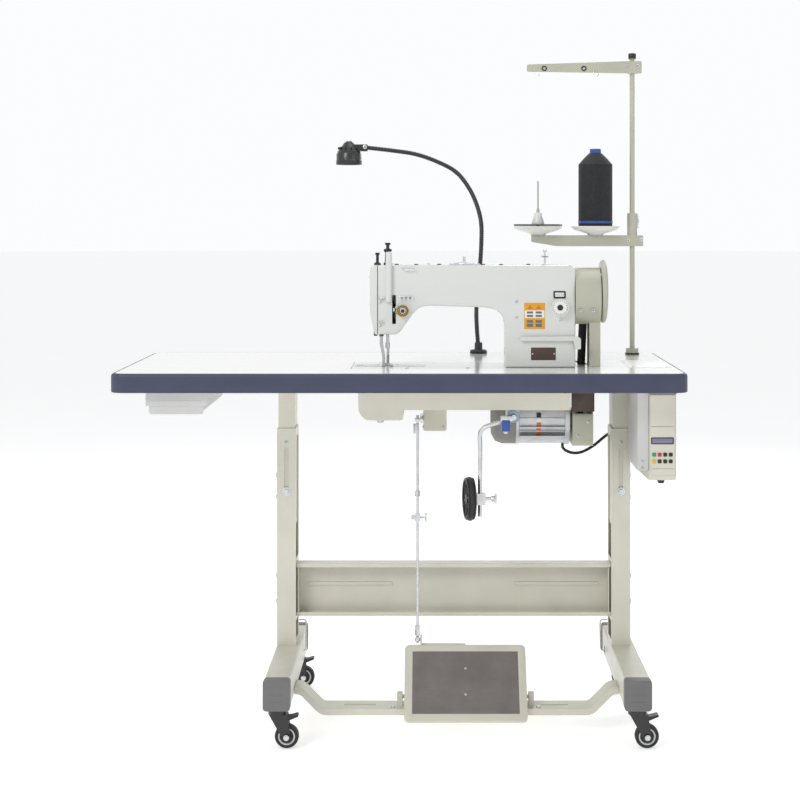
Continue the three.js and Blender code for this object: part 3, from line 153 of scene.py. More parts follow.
def surface(name, colour, roughness, metallic=0.0, variation=0.05, mottle=9.0, grain=1200.0,
            bump=0.06,
            gloss_spread=0.06, stretch=(1, 1, 1), coat=0.0, sheen=0.0, pattern=None, speck=0.0):
    """A procedural finish: mottled colour, uneven gloss and a fine grain in the bump.

    bump is the relief's depth in millimetres, stretch scales the grain along X, Y and Z, and
    pattern(nodes, links, coordinates, grain) gives a relief, a colour factor and a colour.
    """
    material = bpy.data.materials.new(name)
    material.use_nodes = True
    nodes, links = material.node_tree.nodes, material.node_tree.links
    shader = nodes["Principled BSDF"]
    shader.inputs["Metallic"].default_value = metallic
    shader.inputs["Coat Weight"].default_value = coat
    shader.inputs["Coat Roughness"].default_value = 0.12
    shader.inputs["Sheen Weight"].default_value = sheen
    coordinates = nodes.new("ShaderNodeTexCoord").outputs["Object"]

    def noise(scale, detail, shape=(1, 1, 1)):
        mapping = nodes.new("ShaderNodeMapping")
        mapping.inputs["Scale"].default_value = shape
        links.new(coordinates, mapping.inputs["Vector"])
        texture = nodes.new("ShaderNodeTexNoise")
        texture.inputs["Scale"].default_value = scale
        texture.inputs["Detail"].default_value = detail
        links.new(mapping.outputs["Vector"], texture.inputs["Vector"])
        return texture.outputs["Fac"]

    def spread(value, low, high, start=0.3, end=0.7):
        node = nodes.new("ShaderNodeMapRange")
        node.inputs["From Min"].default_value = start
        node.inputs["From Max"].default_value = end
        node.inputs["To Min"].default_value = low
        node.inputs["To Max"].default_value = high
        links.new(value, node.inputs["Value"])
        return node.outputs["Result"]

    def blend_colours(factor, first, other):
        node = nodes.new("ShaderNodeMix")
        node.data_type = "RGBA"
        for value, socket in ((first, node.inputs["A"]), (other, node.inputs["B"])):
            if isinstance(value, bpy.types.NodeSocket):
                links.new(value, socket)
            else:
                socket.default_value = (*value, 1)
        links.new(factor, node.inputs["Factor"])
        return node.outputs["Result"]

    cloud = noise(mottle, 4)
    lighter = tuple(min(1, c * (1 + variation)) for c in colour)
    darker = tuple(c * (1 - 2 * variation) for c in colour)
    base = blend_colours(spread(cloud, 0, 1), lighter, darker)
    fine = noise(grain, 3, stretch)
    if speck:
        base = blend_colours(spread(fine, 0, speck, 0.62, 0.75), base,
                             tuple(c * 0.45 for c in colour))
    height = fine
    if pattern:
        height, factor, tint = pattern(nodes, links, coordinates, fine)
        base = blend_colours(factor, base, tint)
    links.new(base, shader.inputs["Base Color"])
    links.new(spread(noise(mottle * 3, 5), roughness - gloss_spread, roughness + gloss_spread),
              shader.inputs["Roughness"])
    relief = nodes.new("ShaderNodeBump")
    relief.inputs["Strength"].default_value = 0.6
    relief.inputs["Distance"].default_value = bump * MM
    links.new(height, relief.inputs["Height"])
    links.new(relief.outputs["Normal"], shader.inputs["Normal"])
    return material


def wound_thread(nodes, links, coordinates, grain):
    """Relief and tint of thread wound in level turns, with the fine grain on it."""
    wave = nodes.new("ShaderNodeTexWave")
    wave.bands_direction = "Z"
    wave.inputs["Scale"].default_value = 260
    wave.inputs["Distortion"].default_value = 3
    links.new(coordinates, wave.inputs["Vector"])
    relief = nodes.new("ShaderNodeMix")
    relief.inputs["Factor"].default_value = 0.75
    links.new(grain, relief.inputs["A"])
    links.new(wave.outputs["Fac"], relief.inputs["B"])
    factor = nodes.new("ShaderNodeMath")
    factor.operation = "MULTIPLY"
    factor.inputs[1].default_value = 0.4
    links.new(wave.outputs["Fac"], factor.inputs[0])
    return relief.outputs["Result"], factor.outputs["Value"], linear("#26272f")


FINISHES = {  # the colour, then what differs from the defaults of surface()
    "cream_paint": ("#d3d1c3", dict(roughness=0.42, variation=0.035, grain=1500, bump=0.05,
                                    coat=0.15, speck=0.08)),
    "head_paint": ("#dcdedb", dict(roughness=0.24, variation=0.006, grain=700, bump=0.035,
                                   gloss_spread=0.02, coat=0.5)),
    "guard_paint": ("#bcbcab", dict(roughness=0.38, variation=0.035, grain=1100, bump=0.05,
                                    coat=0.2)),
    "white_laminate": ("#f6f5f2", dict(roughness=0.16, variation=0.006, mottle=5, grain=2200,
                                       bump=0.006, gloss_spread=0.03, coat=0.3)),
    "navy_edge": ("#3c3f58", dict(roughness=0.5, variation=0.07, mottle=14, grain=1800, bump=0.1)),
    "grey_plastic": ("#85837f", dict(roughness=0.55, grain=1600, bump=0.12)),
    "dark_grey_plastic": ("#706f70", dict(roughness=0.55, variation=0.06, grain=1400, bump=0.14)),
    "dark_red": ("#6a3b38", dict(roughness=0.5, variation=0.08, grain=1500, bump=0.08)),
    "light_plastic": ("#c9cac8", dict(roughness=0.45, variation=0.04, grain=1500, bump=0.1)),
    "white_plastic": ("#eeeeea", dict(roughness=0.32, variation=0.02, grain=1300, bump=0.05)),
    # black_plastic is real black plastic, and also the painted shade in screw drives, vent strips and feed slot
    # strips; black_metal is also the painted shade in the lamp's screw drives
    "black_plastic": ("#1b1b1d", dict(roughness=0.42, variation=0.15, grain=1500, bump=0.1)),
    "black_metal": ("#161617", dict(roughness=0.3, variation=0.15, grain=1300, coat=0.3)),
    "wheel_tread": ("#1a1a1b", dict(roughness=0.6, variation=0.18, mottle=40, grain=1700,
                                    bump=0.16)),
    "rubber_mat": ("#7d7775", dict(roughness=0.8, variation=0.07, mottle=20, grain=1900, bump=0.16,
                                   sheen=0.1)),
    "belt_rubber": ("#171717", dict(roughness=0.7, variation=0.15, grain=1500, bump=0.2)),
    "lead_sheath": ("#1a1a1b", dict(roughness=0.48, variation=0.12, grain=1500, bump=0.08)),
    "zinc_steel": ("#cfd1d3", dict(roughness=0.26, metallic=1, variation=0.06, mottle=60,
                                   grain=900, bump=0.05, gloss_spread=0.09)),
    "brushed_steel": ("#c0c1c1", dict(roughness=0.3, metallic=1, mottle=40, grain=500, bump=0.05,
                                      stretch=(4, 4, 0.15), gloss_spread=0.08)),
    "motor_alloy": ("#c6c8ca", dict(roughness=0.42, metallic=0.75, mottle=25, grain=1000,
                                    bump=0.16)),
    "black_thread": ("#15161b", dict(roughness=0.72, variation=0.25, mottle=60, grain=2500,
                                     bump=0.35, sheen=0.05, pattern=wound_thread)),
    "brass": ("#b99a4a", dict(roughness=0.28, metallic=1, variation=0.06, mottle=60, grain=900,
                              bump=0.04)),
    "label_yellow": ("#e3a527", dict(roughness=0.45, grain=1500, bump=0.03)),
    "label_orange": ("#d9772f", dict(roughness=0.45, grain=1500, bump=0.03)),
    "brown_cover": ("#4a3a34", dict(roughness=0.5, variation=0.08, grain=1400, bump=0.08)),
    "screen": ("#77748f", dict(roughness=0.18, variation=0.06, grain=900, bump=0.02, coat=0.6)),
    "key_green": ("#2f8f55", dict(roughness=0.4, grain=1400, bump=0.05)),
    "key_red": ("#b8352f", dict(roughness=0.4, grain=1400, bump=0.05)),
    "key_yellow": ("#d9b53a", dict(roughness=0.4, grain=1400, bump=0.05)),
    "blue_plastic": ("#2f56a0", dict(roughness=0.35, variation=0.06, grain=1300)),
    "blue_metal": ("#8fa3b8", dict(roughness=0.3, metallic=0.9, variation=0.06, grain=1000,
                                   bump=0.05)),
    "lamp_lens": ("#f2f2ec", dict(roughness=0.15, variation=0.02, grain=500, bump=0.2, coat=0.6)),
}
M = {name: surface(name, linear(colour), **finish) for name, (colour, finish) in FINISHES.items()}
STEEL_AND_RECESS_SHADE = ["zinc_steel", "black_plastic"]  # steel for screw heads, and black for the painted shade in their sunk drives, vents and slots; on some pieces the black is also real black plastic


# ---------------------------------------------------------------- shapes
SHARP_ANGLE = math.radians(34)
AXES = {"x": Vector((1, 0, 0)), "-x": Vector((-1, 0, 0)), "y": Vector((0, 1, 0)),
        "-y": Vector((0, -1, 0)),
        "z": Vector((0, 0, 1)), "-z": Vector((0, 0, -1))}


def mm(*points):
    """Points given in millimetres."""
    return [tuple(value * MM for value in point) for point in points]


def turn_to(axis):
    """The rotation that takes +Z to an axis."""
    direction = AXES[axis] if isinstance(axis, str) else Vector(axis)
    return direction.normalized().to_track_quat("Z", "Y").to_matrix()


class Shape:
    """Collects bevelled, turned, swept and extruded forms into one mesh, then makes it a piece."""

    def __init__(self):
        self.bm = bmesh.new()

    def _take(self, faces, material):
        """Gives the faces their material and smooth shading."""
        for face in faces:
            face.material_index = material
            face.smooth = True
        return self

    def _since(self, before):
        """The faces made since the set before was taken."""
        return [face for face in self.bm.faces if face not in before]

    def _bevel(self, edges, width, segments):
        """Rounds the edges."""
        bmesh.ops.bevel(self.bm, geom=list(edges), offset=width, segments=segments, profile=0.5,
                        affect="EDGES", clamp_overlap=True)

    def lathe(self, centre, axis, profile, segments=48, material=0, closed=False):
        """Turns (radius, height) points about an axis. closed joins the last to the first."""
        frame_of, centre = turn_to(axis), Vector(centre)
        rings = []
        for radius, height in profile:
            if radius < 1e-7:
                rings.append([self.bm.verts.new(centre + frame_of @ Vector((0, 0, height)))])
                continue
            rings.append([
                self.bm.verts.new(centre + frame_of @ Vector(
                    (radius * math.cos(a), radius * math.sin(a), height)))
                for a in (2 * math.pi * k / segments for k in range(segments))])
        pairs = list(zip(rings, rings[1:])) + ([(rings[-1], rings[0])] if closed else [])
        faces = []
        for low, high in pairs:
            for k in range(segments):
                n = (k + 1) % segments
                corners = [low[k % len(low)], low[n % len(low)], high[n % len(high)],
                           high[k % len(high)]]
                unique = list(dict.fromkeys(corners))
                if len(unique) > 2:
                    faces.append(self.bm.faces.new(unique))
        return self._take(faces, material)

    def block(self, low, high, bevel=0.0008, material=0, turn=None, pivot=None):
        """A box with rounded edges, turned by a matrix about a pivot."""
        low, high = Vector(low), Vector(high)
        before = set(self.bm.faces)
        made = bmesh.ops.create_cube(self.bm, size=1)["verts"]
        bmesh.ops.scale(self.bm, verts=made, vec=high - low)
        bmesh.ops.translate(self.bm, verts=made, vec=(low + high) / 2)
        if bevel:
            self._bevel(dict.fromkeys(edge for vert in made for edge in vert.link_edges), bevel, 2)
        faces = self._since(before)
        if turn is not None:
            verts = list(dict.fromkeys(vert for face in faces for vert in face.verts))
            bmesh.ops.rotate(self.bm, verts=verts, cent=Vector(pivot or (low + high) / 2),
                             matrix=turn)
        return self._take(faces, material)

    def plate(self, outline, axis, start, end, bevel=0.0008, material=0, segments=2):
        """An outline of (u, v) points, extruded along x, y or z. u and v are the other two axes."""
        order = {"x": (2, 0, 1), "y": (0, 2, 1), "z": (0, 1, 2)}[axis]

        def place(u, v, w):
            point = (u, v, w)
            return Vector(point[k] for k in order)

        before = set(self.bm.faces)
        rims = [[self.bm.verts.new(place(u, v, w)) for u, v in outline] for w in (start, end)]
        faces = [self.bm.faces.new(rims[0][::-1]), self.bm.faces.new(rims[1])]
        count = len(outline)
        for k in range(count):
            n = (k + 1) % count
            faces.append(self.bm.faces.new((rims[0][k], rims[0][n], rims[1][n], rims[1][k])))
        if bevel:
            self._bevel([*faces[0].edges, *faces[1].edges], bevel, segments)
        return self._take(self._since(before), material)

    def skin(self, rings, closed=True, material=0):
        """Joins rings of points, the last to the first if closed, else with both ends capped."""
        rings = [[self.bm.verts.new(point) for point in ring] for ring in rings]
        faces = []
        for low, high in zip(rings, rings[1:] + (rings[:1] if closed else [])):
            for k in range(len(low)):
                n = (k + 1) % len(low)
                faces.append(self.bm.faces.new((low[k], low[n], high[n], high[k])))
        if not closed:
            faces += [self.bm.faces.new(rings[0][::-1]), self.bm.faces.new(rings[-1])]
        return self._take(faces, material)

    def tube(self, points, radius, sides=14, material=0, steps=0, taper=None):
        """A round tube. steps adds smooth points between each two, taper(t) scales the radius."""
        path = smooth_path(points, steps) if steps else [Vector(p) for p in points]
        count, rings, normal = len(path), [], None
        for k, point in enumerate(path):
            tangent = (path[min(k + 1, count - 1)] - path[max(k - 1, 0)]).normalized()
            if normal is None:
                normal = tangent.orthogonal().normalized()
            normal = (normal - tangent * normal.dot(tangent)).normalized()
            side = tangent.cross(normal)
            size = radius * (taper(k / (count - 1)) if taper else 1)
            rings.append([point + size * (math.cos(a) * normal + math.sin(a) * side)
                          for a in (2 * math.pi * s / sides for s in range(sides))])
        return self.skin(rings, False, material)

    def screw(self, centre, axis, radius, height=None, drive="cross", material=0, drive_shade=1):
        """A domed screw head standing on centre, with its drive (cross, slot or hex) drawn as thin bars or a
        hexagon in a dark material: painted shade standing for the sunk recess.
        """
        height = height or radius * 0.55
        self.lathe(centre, axis, [(radius * 0.98, -0.0004), (radius, height * 0.25),
                                  (radius * 0.86, height * 0.8),
                                  (radius * 0.55, height), (0, height)], 24, material)
        top = Vector(centre) + turn_to(axis) @ Vector((0, 0, height))
        # the hexagon socket is a flat dark hexagon: painted shade of the recess
        if drive == "hex":
            self.lathe(top, axis, [(radius * 0.52, -0.0005), (radius * 0.5, 0.00015), (0, 0.00015)],
                       6, drive_shade)
            return self
        spin = turn_to(axis)
        # the cross or slot is a dark bar on the head: painted shade of the recess
        for angle in ((0.4, 0.4 + math.pi / 2) if drive == "cross" else (0.4,)):
            matrix = spin @ Matrix.Rotation(angle, 3, "Z")
            half = Vector((radius * (0.58 if drive == "cross" else 0.84), radius * 0.11, 0.0003))
            self.block(top - half, top + half, 0, drive_shade, turn=matrix, pivot=top)
        return self

    def hex_bolt(self, centre, axis, radius, height=None, washer=1.45, material=0):
        """A hexagonal head on a washer."""
        height = height or radius * 0.7
        if washer:
            self.lathe(centre, axis, [(0, -0.0003), (radius * washer, -0.0003),
                                      (radius * washer, 0.001),
                                      (radius * washer - 0.0004, 0.0014), (0, 0.0014)], 28,
                       material)
        return self.lathe(centre, axis, [(0, 0.0008), (radius, 0.0008), (radius, height * 0.85),
                                         (radius * 0.88, height), (0, height)], 6, material)

    def coil(self, centre, axis, radius, wire, length, turns, material=0, sides=8, per_turn=16):
        """A helical spring."""
        spin, centre = turn_to(axis), Vector(centre)
        count = int(turns * per_turn)
        points = [centre + spin @ Vector((radius * math.cos(2 * math.pi * k / per_turn),
                                          radius * math.sin(2 * math.pi * k / per_turn),
                                          length * k / count)) for k in range(count + 1)]
        return self.tube(points, wire, sides, material)

    def piece(self, name, body, materials, slot=None, replaces=()):
        """Makes the mesh an object that rides on a CAD body. The slot argument is not used."""
        bmesh.ops.recalc_face_normals(self.bm, faces=self.bm.faces)
        mesh = bpy.data.meshes.new(name)
        self.bm.to_mesh(mesh)
        self.bm.free()
        for material in materials:
            mesh.materials.append(M[material])
        mesh.set_sharp_from_angle(angle=SHARP_ANGLE)
        made = bpy.data.objects.new(name, mesh)
        bpy.context.scene.collection.objects.link(made)
        if body:
            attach(made, body)
        if replaces:
            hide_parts(*replaces)
        return made


def smooth_path(points, steps):
    """Points of a Catmull-Rom curve through the given ones."""
    points = [Vector(p) for p in points]
    last = len(points) - 1
    path = []
    for i in range(last):
        a, b, c, d = (points[max(0, min(last, i + k))] for k in (-1, 0, 1, 2))
        for k in range(steps):
            t = k / steps
            path.append(0.5 * (2 * b + (c - a) * t + (2 * a - 5 * b + 4 * c - d) * t * t
                               + (3 * b - a - 3 * c + d) * t ** 3))
    return path + [points[-1]]


def arc(centre, radius, start, end, count):
    """Points (u, v) of an arc, angles in degrees."""
    return [(centre[0] + radius * math.cos(math.radians(start + (end - start) * k / count)),
             centre[1] + radius * math.sin(math.radians(start + (end - start) * k / count)))
            for k in range(count + 1)]


def rounded(u0, u1, v0, v1, radius, count=5):
    """A rectangle's outline with round corners."""
    r = radius
    return (arc((u1 - r, v0 + r), r, -90, 0, count) + arc((u1 - r, v1 - r), r, 0, 90, count)
            + arc((u0 + r, v1 - r), r, 90, 180, count) + arc((u0 + r, v0 + r), r, 180, 270, count))


# ---------------------------------------------------------------- carried-over CAD nodes
def dress(node, width=0.0012, segments=2):
    """Gives a CAD node its finish and rounds its edges by modifiers."""
    obj = NODES[node]
    mesh = obj.data
    mesh.materials.clear()
    mesh.materials.append(M[SLOT_OF[node]])
    if "custom_normal" in mesh.attributes:
        mesh.attributes.remove(mesh.attributes["custom_normal"])
    mesh.polygons.foreach_set("use_smooth", [True] * len(mesh.polygons))
    if "sharp_edge" in mesh.attributes:
        mesh.attributes.remove(mesh.attributes["sharp_edge"])
    obj.modifiers.new("weld", "WELD").merge_threshold = 0.00002
    flat = obj.modifiers.new("flatten", "DECIMATE")
    flat.decimate_type = "DISSOLVE"
    flat.angle_limit = math.radians(0.6)
    bevel = obj.modifiers.new("edges", "BEVEL")
    bevel.width = width
    bevel.segments = segments
    bevel.limit_method = "ANGLE"
    bevel.angle_limit = math.radians(33)
    bevel.harden_normals = True


EDGE_ROUNDING = {"table_top": 0.0006, "machine_arm": 0.003, "face_plate": 0.002,
                 "machine_bed": 0.0012,
                 "left_leg": 0.002, "right_leg": 0.002, "crossbar": 0.0012, "treadle_frame": 0.002,
                 "control_box": 0.003, "oil_pan": 0.0015, "rotary_hook": 0.0006,
                 "needle_bar": 0.0002,
                 "presser_foot": 0.0005, "walking_foot": 0.0005, "take_up_lever": 0.0004,
                 "control_panel": 0.0005, "belt": 0.0008, "table_edge": 0.0}
for cad_node in NODES:
    dress(cad_node, EDGE_ROUNDING.get(cad_node, 0.001))

make_camera()
make_studio()


# ---------------------------------------------------------------- base
FOOT_ABOVE_FORK = 0.032
FOOT_HEIGHT = 0.062
CAP_REACH = 0.026
CAP_PROUD = 0.0011
RIM_SHARE = 0.7  # of the wheel's radius
PEDAL_TILT = 48  # degrees
MAT_RIBS = 44
TABLE_CORNER = 0.03
CORNER_STEPS = 14
EDGE_RADIUS = 0.0068


def foot_caps(side):
    """Plastic caps over both ends of a foot, each with three fine ribs."""
    leg = Box(side + "_leg")
    foot_top = Box("caster_fork_front_" + side).z1 + FOOT_ABOVE_FORK
    foot_bottom = foot_top - FOOT_HEIGHT
    reach, proud = CAP_REACH, CAP_PROUD
    shape = Shape()
    for end, inward in ((leg.y0, 1), (leg.y1, -1)):
        low, high = sorted((end - inward * proud, end + inward * reach))
        shape.plate(rounded(leg.x0 - proud, leg.x1 + proud, foot_bottom - proud, foot_top + proud,
                            0.006),
                    "y", low, high, 0.002, 0, 3)
        for k in range(3):
            z = foot_bottom + 0.016 + 0.015 * k
            face = end - inward * (proud + 0.0004)
            shape.block((leg.x - 0.017, min(face, end), z), (leg.x + 0.017, max(face, end),
                                                             z + 0.0016), 0.0003)
    shape.piece(f"{side}_foot_caps", "base", ["dark_grey_plastic"], "grey_plastic")


def leg_hardware(side):
    """The height clamp's bolts and screw, the crossbar's bolts and a hook for the leads."""
    leg, inner = Box(side + "_leg"), Box(side + "_inner_column")
    front = inner.y0 + 0.005
    back = inner.y1 - 0.005
    inward = 1 if side == "left" else -1
    outer_face = inner.x - inward * 0.021
    shape = Shape()
    shape.hex_bolt((inner.x, front, leg.z1 - 0.141), "-y", 0.0068, 0.0058)
    shape.screw((inner.x, front, leg.z1 - 0.03), "-y", 0.0036, 0.0024)
    axis = "-x" if side == "left" else "x"
    for drop in (0.11, 0.16):
        shape.hex_bolt((outer_face, (front + back) / 2, leg.z1 - drop), axis, 0.0065, 0.0055)
    bar = Box("crossbar")
    for z in (bar.z0 + 0.03, bar.z1 - 0.03):
        shape.hex_bolt((outer_face, bar.y, z), axis, 0.0065, 0.005)
    shape.piece(f"{side}_leg_bolts", "base", STEEL_AND_RECESS_SHADE)
    hook = Shape()
    x = inner.x + inward * 0.027
    hook.tube([(x, back + 0.012, 0.112), (x + inward * 0.004, back + 0.012, 0.11),
               (x + inward * 0.009, back + 0.012, 0.116), (x + inward * 0.01, back + 0.012, 0.15),
               (x + inward * 0.01, back + 0.012, 0.176), (x + inward * 0.004, back + 0.012, 0.181),
               (x - inward * 0.006, back + 0.012, 0.181)], 0.0016, 10, steps=6)
    hook.block((min(x, x - inward * 0.002), back + 0.004, 0.104),
               (max(x, x + inward * 0.0016), back + 0.02, 0.12),
               0.0006)
    hook.piece(f"{side}_lead_hook", "base", ["zinc_steel"])


def crossbar_beads():
    """Long pressed beads in the crossbar's web, and its end brackets."""
    bar = Box("crossbar")
    web = bar.y1 - 0.0025
    shape = Shape()
    for start, sign in ((bar.x0 + 0.025, 1), (bar.x1 - 0.025, -1)):
        x0, x1 = sorted((start, start + sign * 0.19))
        shape.plate(rounded(x0, x1, bar.z + 0.004, bar.z + 0.0105, 0.0032, 6), "y", web - 0.003,
                    web + 0.0006,
                    0.0022, 0, 3)
        x0, x1 = sorted((start - sign * 0.022, start - sign * 0.0195))
        shape.block((x0, bar.y0 + 0.002, bar.z0 + 0.004), (x1, web, bar.z1 - 0.004), 0.0006)
    shape.piece("crossbar_beads", "base", ["cream_paint"])


def caster(corner):
    """Tyre with a light rim ring and a black hub, axle nuts and a swivel bearing cover."""
    fork, wheel = "caster_fork_" + corner, "caster_wheel_" + corner
    box, centre = Box(wheel), at("caster_roll_" + corner)
    r, w = (box.z1 - box.z0) / 2, (box.y1 - box.y0) / 2
    ring, bore = r * RIM_SHARE, 0.0052
    tyre = Shape()
    tyre.lathe(centre, "y", [(ring, -w + 0.0008), (r * 0.86, -w), (r * 0.955, -w + 0.0012),
                             (r, -w + 0.0045),
                             (r, -0.0012), (r * 0.985, -0.0004), (r * 0.985, 0.0004), (r, 0.0012),
                             (r, w - 0.0045), (r * 0.955, w - 0.0012), (r * 0.86, w),
                             (ring, w - 0.0008)],
               56, closed=True)
    tyre.lathe(centre, "y", [(ring, -w + 0.0006), (ring * 0.86, -w + 0.0004),
                             (ring * 0.8, -w + 0.0032),
                             (ring * 0.8, w - 0.0032), (ring * 0.86, w - 0.0004),
                             (ring, w - 0.0006)],
               56, 1, closed=True)
    tyre.lathe(centre, "y", [(ring * 0.81, -w + 0.0035), (0.009, -w + 0.0035), (0.008, -w + 0.0002),
                             (bore, -w + 0.0002), (bore, w - 0.0002), (0.008, w - 0.0002),
                             (0.009, w - 0.0035), (ring * 0.81, w - 0.0035)], 40, 2, closed=True)
    tyre.piece("wheel_" + corner, wheel, ["wheel_tread", "light_plastic", "black_plastic"],
               replaces=(wheel,))
    hardware = Shape()
    box = Box(fork)
    for face, axis in ((box.y0, "-y"), (box.y1, "y")):
        hardware.hex_bolt((centre.x, face, centre.z), axis, 0.0048, 0.0036, washer=1.25)
    pivot = at("caster_swivel_" + corner)
    hardware.lathe((pivot.x, pivot.y, box.z1 - 0.0345), "z",
                   mm((6, 0), (16.5, 0), (17.8, 0.8), (17.8, 2.2), (16.5, 2.8), (6, 2.8)), 40,
                   closed=True)
    hardware.piece("caster_hardware_" + corner, fork, ["zinc_steel"])


# ---------------------------------------------------------------- treadle
def treadle_pieces():
    """Ribbed mat and rivets, pivot bolts, and the rod's six-sided ends and wing clamp."""
    pivot, tilt = at("treadle_tilt"), Matrix.Rotation(math.radians(PEDAL_TILT), 3, "X")
    half, near, far = 0.114, -0.0556, 0.0906
    low, high = 0.0284, 0.0306
    mat = Shape()
    mat.block((-half, near, low), (half, far, high), 0.0012)
    pitch = (far - near - 0.008) / MAT_RIBS
    for k in range(MAT_RIBS + 1):
        y = near + 0.004 + k * pitch
        mat.plate([(y - 0.001, high - 0.0004), (y + 0.001, high - 0.0004),
                   (y + 0.0007, high + 0.0003),
                   (y - 0.0007, high + 0.0003)], "x", -half + 0.004, half - 0.004, 0)
    bmesh.ops.rotate(mat.bm, verts=mat.bm.verts, cent=(0, 0, 0), matrix=tilt)
    bmesh.ops.translate(mat.bm, verts=mat.bm.verts, vec=pivot)
    mat.piece("treadle_mat_ribbed", "treadle", ["rubber_mat"], replaces=("treadle_mat",))
    plate = Box("treadle_frame")
    bolts = Shape()
    for up in (-0.011, 0.05):
        place = pivot + tilt @ Vector((0, up, 0.0307))
        bolts.screw(place, tilt @ Vector((0, 0, 1)), 0.0028, 0.001)
    bolts.piece("treadle_mat_rivets", "treadle", STEEL_AND_RECESS_SHADE)
    pins = Shape()
    for x, axis in ((plate.x0 - 0.0085, "-x"), (plate.x1 + 0.0085, "x")):
        pins.hex_bolt((x, pivot.y, pivot.z), axis, 0.0062, 0.005)
        pins.hex_bolt((x - (0.016 if axis == "-x" else -0.016), pivot.y - 0.02,
                       Box("treadle_bar").z1 - 0.0463),
                      "z", 0.005, 0.004)
    pins.piece("treadle_pivot_bolts", "base", ["zinc_steel"])
    rod = Box("treadle_rod")
    lower, upper = at("treadle_rod_swing"), Vector((rod.x, rod.y1 - 0.0107, rod.z1 - 0.0105))
    joints = Shape()
    along = (upper - lower).normalized()
    joints.lathe(lower, along, mm((0, 8.5), (5.2, 8.5), (5.6, 9.5), (5.6, 30), (5, 31.2),
                                  (0, 31.2)), 6)
    reach = (upper - lower).length
    joints.lathe(lower, along, [(0, reach - 0.03), (0.0052, reach - 0.03), (0.0056, reach - 0.029),
                                (0.0056, reach - 0.0095), (0.005, reach - 0.0085),
                                (0, reach - 0.0085)], 6)
    clamp = lower + along * (reach - 0.214)
    joints.tube([clamp + Vector((0.006, 0, 0)), clamp + Vector((0.016, 0, 0))], 0.0022, 10)
    for sign in (1, -1):
        joints.plate([(0.017 + clamp.x, clamp.z), (0.019 + clamp.x, clamp.z + sign * 0.0105),
                      (0.0235 + clamp.x, clamp.z + sign * 0.0095), (0.0215 + clamp.x, clamp.z)],
                     "y", clamp.y - 0.0011, clamp.y + 0.0011, 0.0004)
    joints.piece("treadle_rod_fittings", "treadle_rod", ["zinc_steel"])


# ---------------------------------------------------------------- table top, drawer
def table_moulding():
    """The edge band swept round the table, with a large radius above and a small one below."""
    band = Box("table_edge")
    corner = TABLE_CORNER
    centres = [(band.x1 - corner, band.y0 + corner, -90), (band.x1 - corner, band.y1 - corner, 0),
               (band.x0 + corner, band.y1 - corner, 90), (band.x0 + corner, band.y0 + corner, 180)]
    z0, z1, deep = band.z0, band.z1, 0.008
    profile = ([(deep, z0), (0.002, z0)] + [(0.002 - d, z0 + 0.002 - h) for d, h in
                                             ((0.0012, 0.0016), (0.002, 0.0))]
               + [(EDGE_RADIUS - u, z1 - EDGE_RADIUS + v) for u,
                  v in arc((0, 0), EDGE_RADIUS, 0, 90, 7)]
               + [(deep, z1)])
    shape, rings = Shape(), []
    for x, y, start in centres:
        for k in range(CORNER_STEPS + 1):
            angle = math.radians(start + 90 * k / CORNER_STEPS)
            out = Vector((math.cos(angle), math.sin(angle), 0))
            rings.append([Vector((x, y, 0)) + out * (corner - inset) + Vector((0, 0, z))
                          for inset, z in profile])
    shape.skin(rings)
    shape.piece("table_moulding", "table", ["navy_edge"], replaces=("table_edge",))


def table_fittings():
    """Inlaid cover plate right of the head, and the screws under the top."""
    top = Box("table_top")
    control = Box("control_box")
    plate = Shape()
    x0, x1 = control.x0 - 0.036, control.x1 - 0.002
    plate.plate(rounded(x0, x1, -0.14, 0.056, 0.012), "z", top.z1 - 0.0004, top.z1 + 0.0006, 0.0004)
    for x, y in ((x0 + 0.009, -0.131), (x1 - 0.009, -0.131), (x0 + 0.009, 0.047),
                 (x1 - 0.009, 0.047)):
        # the cross drives are black bars: painted shade of the recesses
        plate.screw((x, y, top.z1 + 0.0006), "z", 0.0034, 0.0009, "cross", 1, 2)
    plate.piece("table_cover_plate", "table", ["white_plastic", "zinc_steel", "black_plastic"])
    under = Shape()
    for node in ("left_inner_column", "right_inner_column"):
        flange = Box(node)
        for x in (flange.x0 + 0.005, flange.x1 - 0.005):
            for y in (flange.y0 + 0.006, flange.y1 - 0.006):
                under.screw((x, y, flange.z1 - 0.004), "-z", 0.0036, 0.0022)
    runner = Box("drawer_runner")
    for y in (runner.y0 + 0.04, runner.y1 - 0.04):
        under.hex_bolt((runner.x0, y, runner.z), "-x", 0.004, 0.003)
    under.piece("under_table_screws", "table", STEEL_AND_RECESS_SHADE)


def drawer_front():
    """The stepped front: wider above, narrower below, with a raised line and a red strip."""
    tray, runner = Box("drawer_tray"), Box("drawer_runner")
    y, step, reach = tray.y0, 0.014, 0.007
    face = Shape()
    face.plate(rounded(tray.x0 - reach, tray.x1 + reach, tray.z1 - step, tray.z1 + 0.013, 0.003),
               "y",
               y - 0.004, y - 0.0008, 0.0012, 0, 3)
    face.plate(rounded(tray.x0, tray.x1, tray.z0, tray.z1 - 0.002, 0.005), "y", y - 0.0026,
               y + 0.0004, 0.001,
               0, 3)
    face.block((tray.x0 + 0.004, y - 0.0046, tray.z1 - 0.004), (tray.x1 - 0.004, y - 0.0036,
                                                                tray.z1 - 0.0024),
               0.0004)
    face.piece("drawer_front", "drawer", ["light_plastic"])
    strip = Shape()
    strip.block((runner.x0 + 0.003, runner.y0 - 0.0012, runner.z1 - 0.0042),
                (runner.x1 - 0.003, runner.y0 + 0.0002, runner.z1 - 0.0012), 0.0004)
    strip.piece("drawer_strip", "table", ["dark_red"], "grey_plastic")


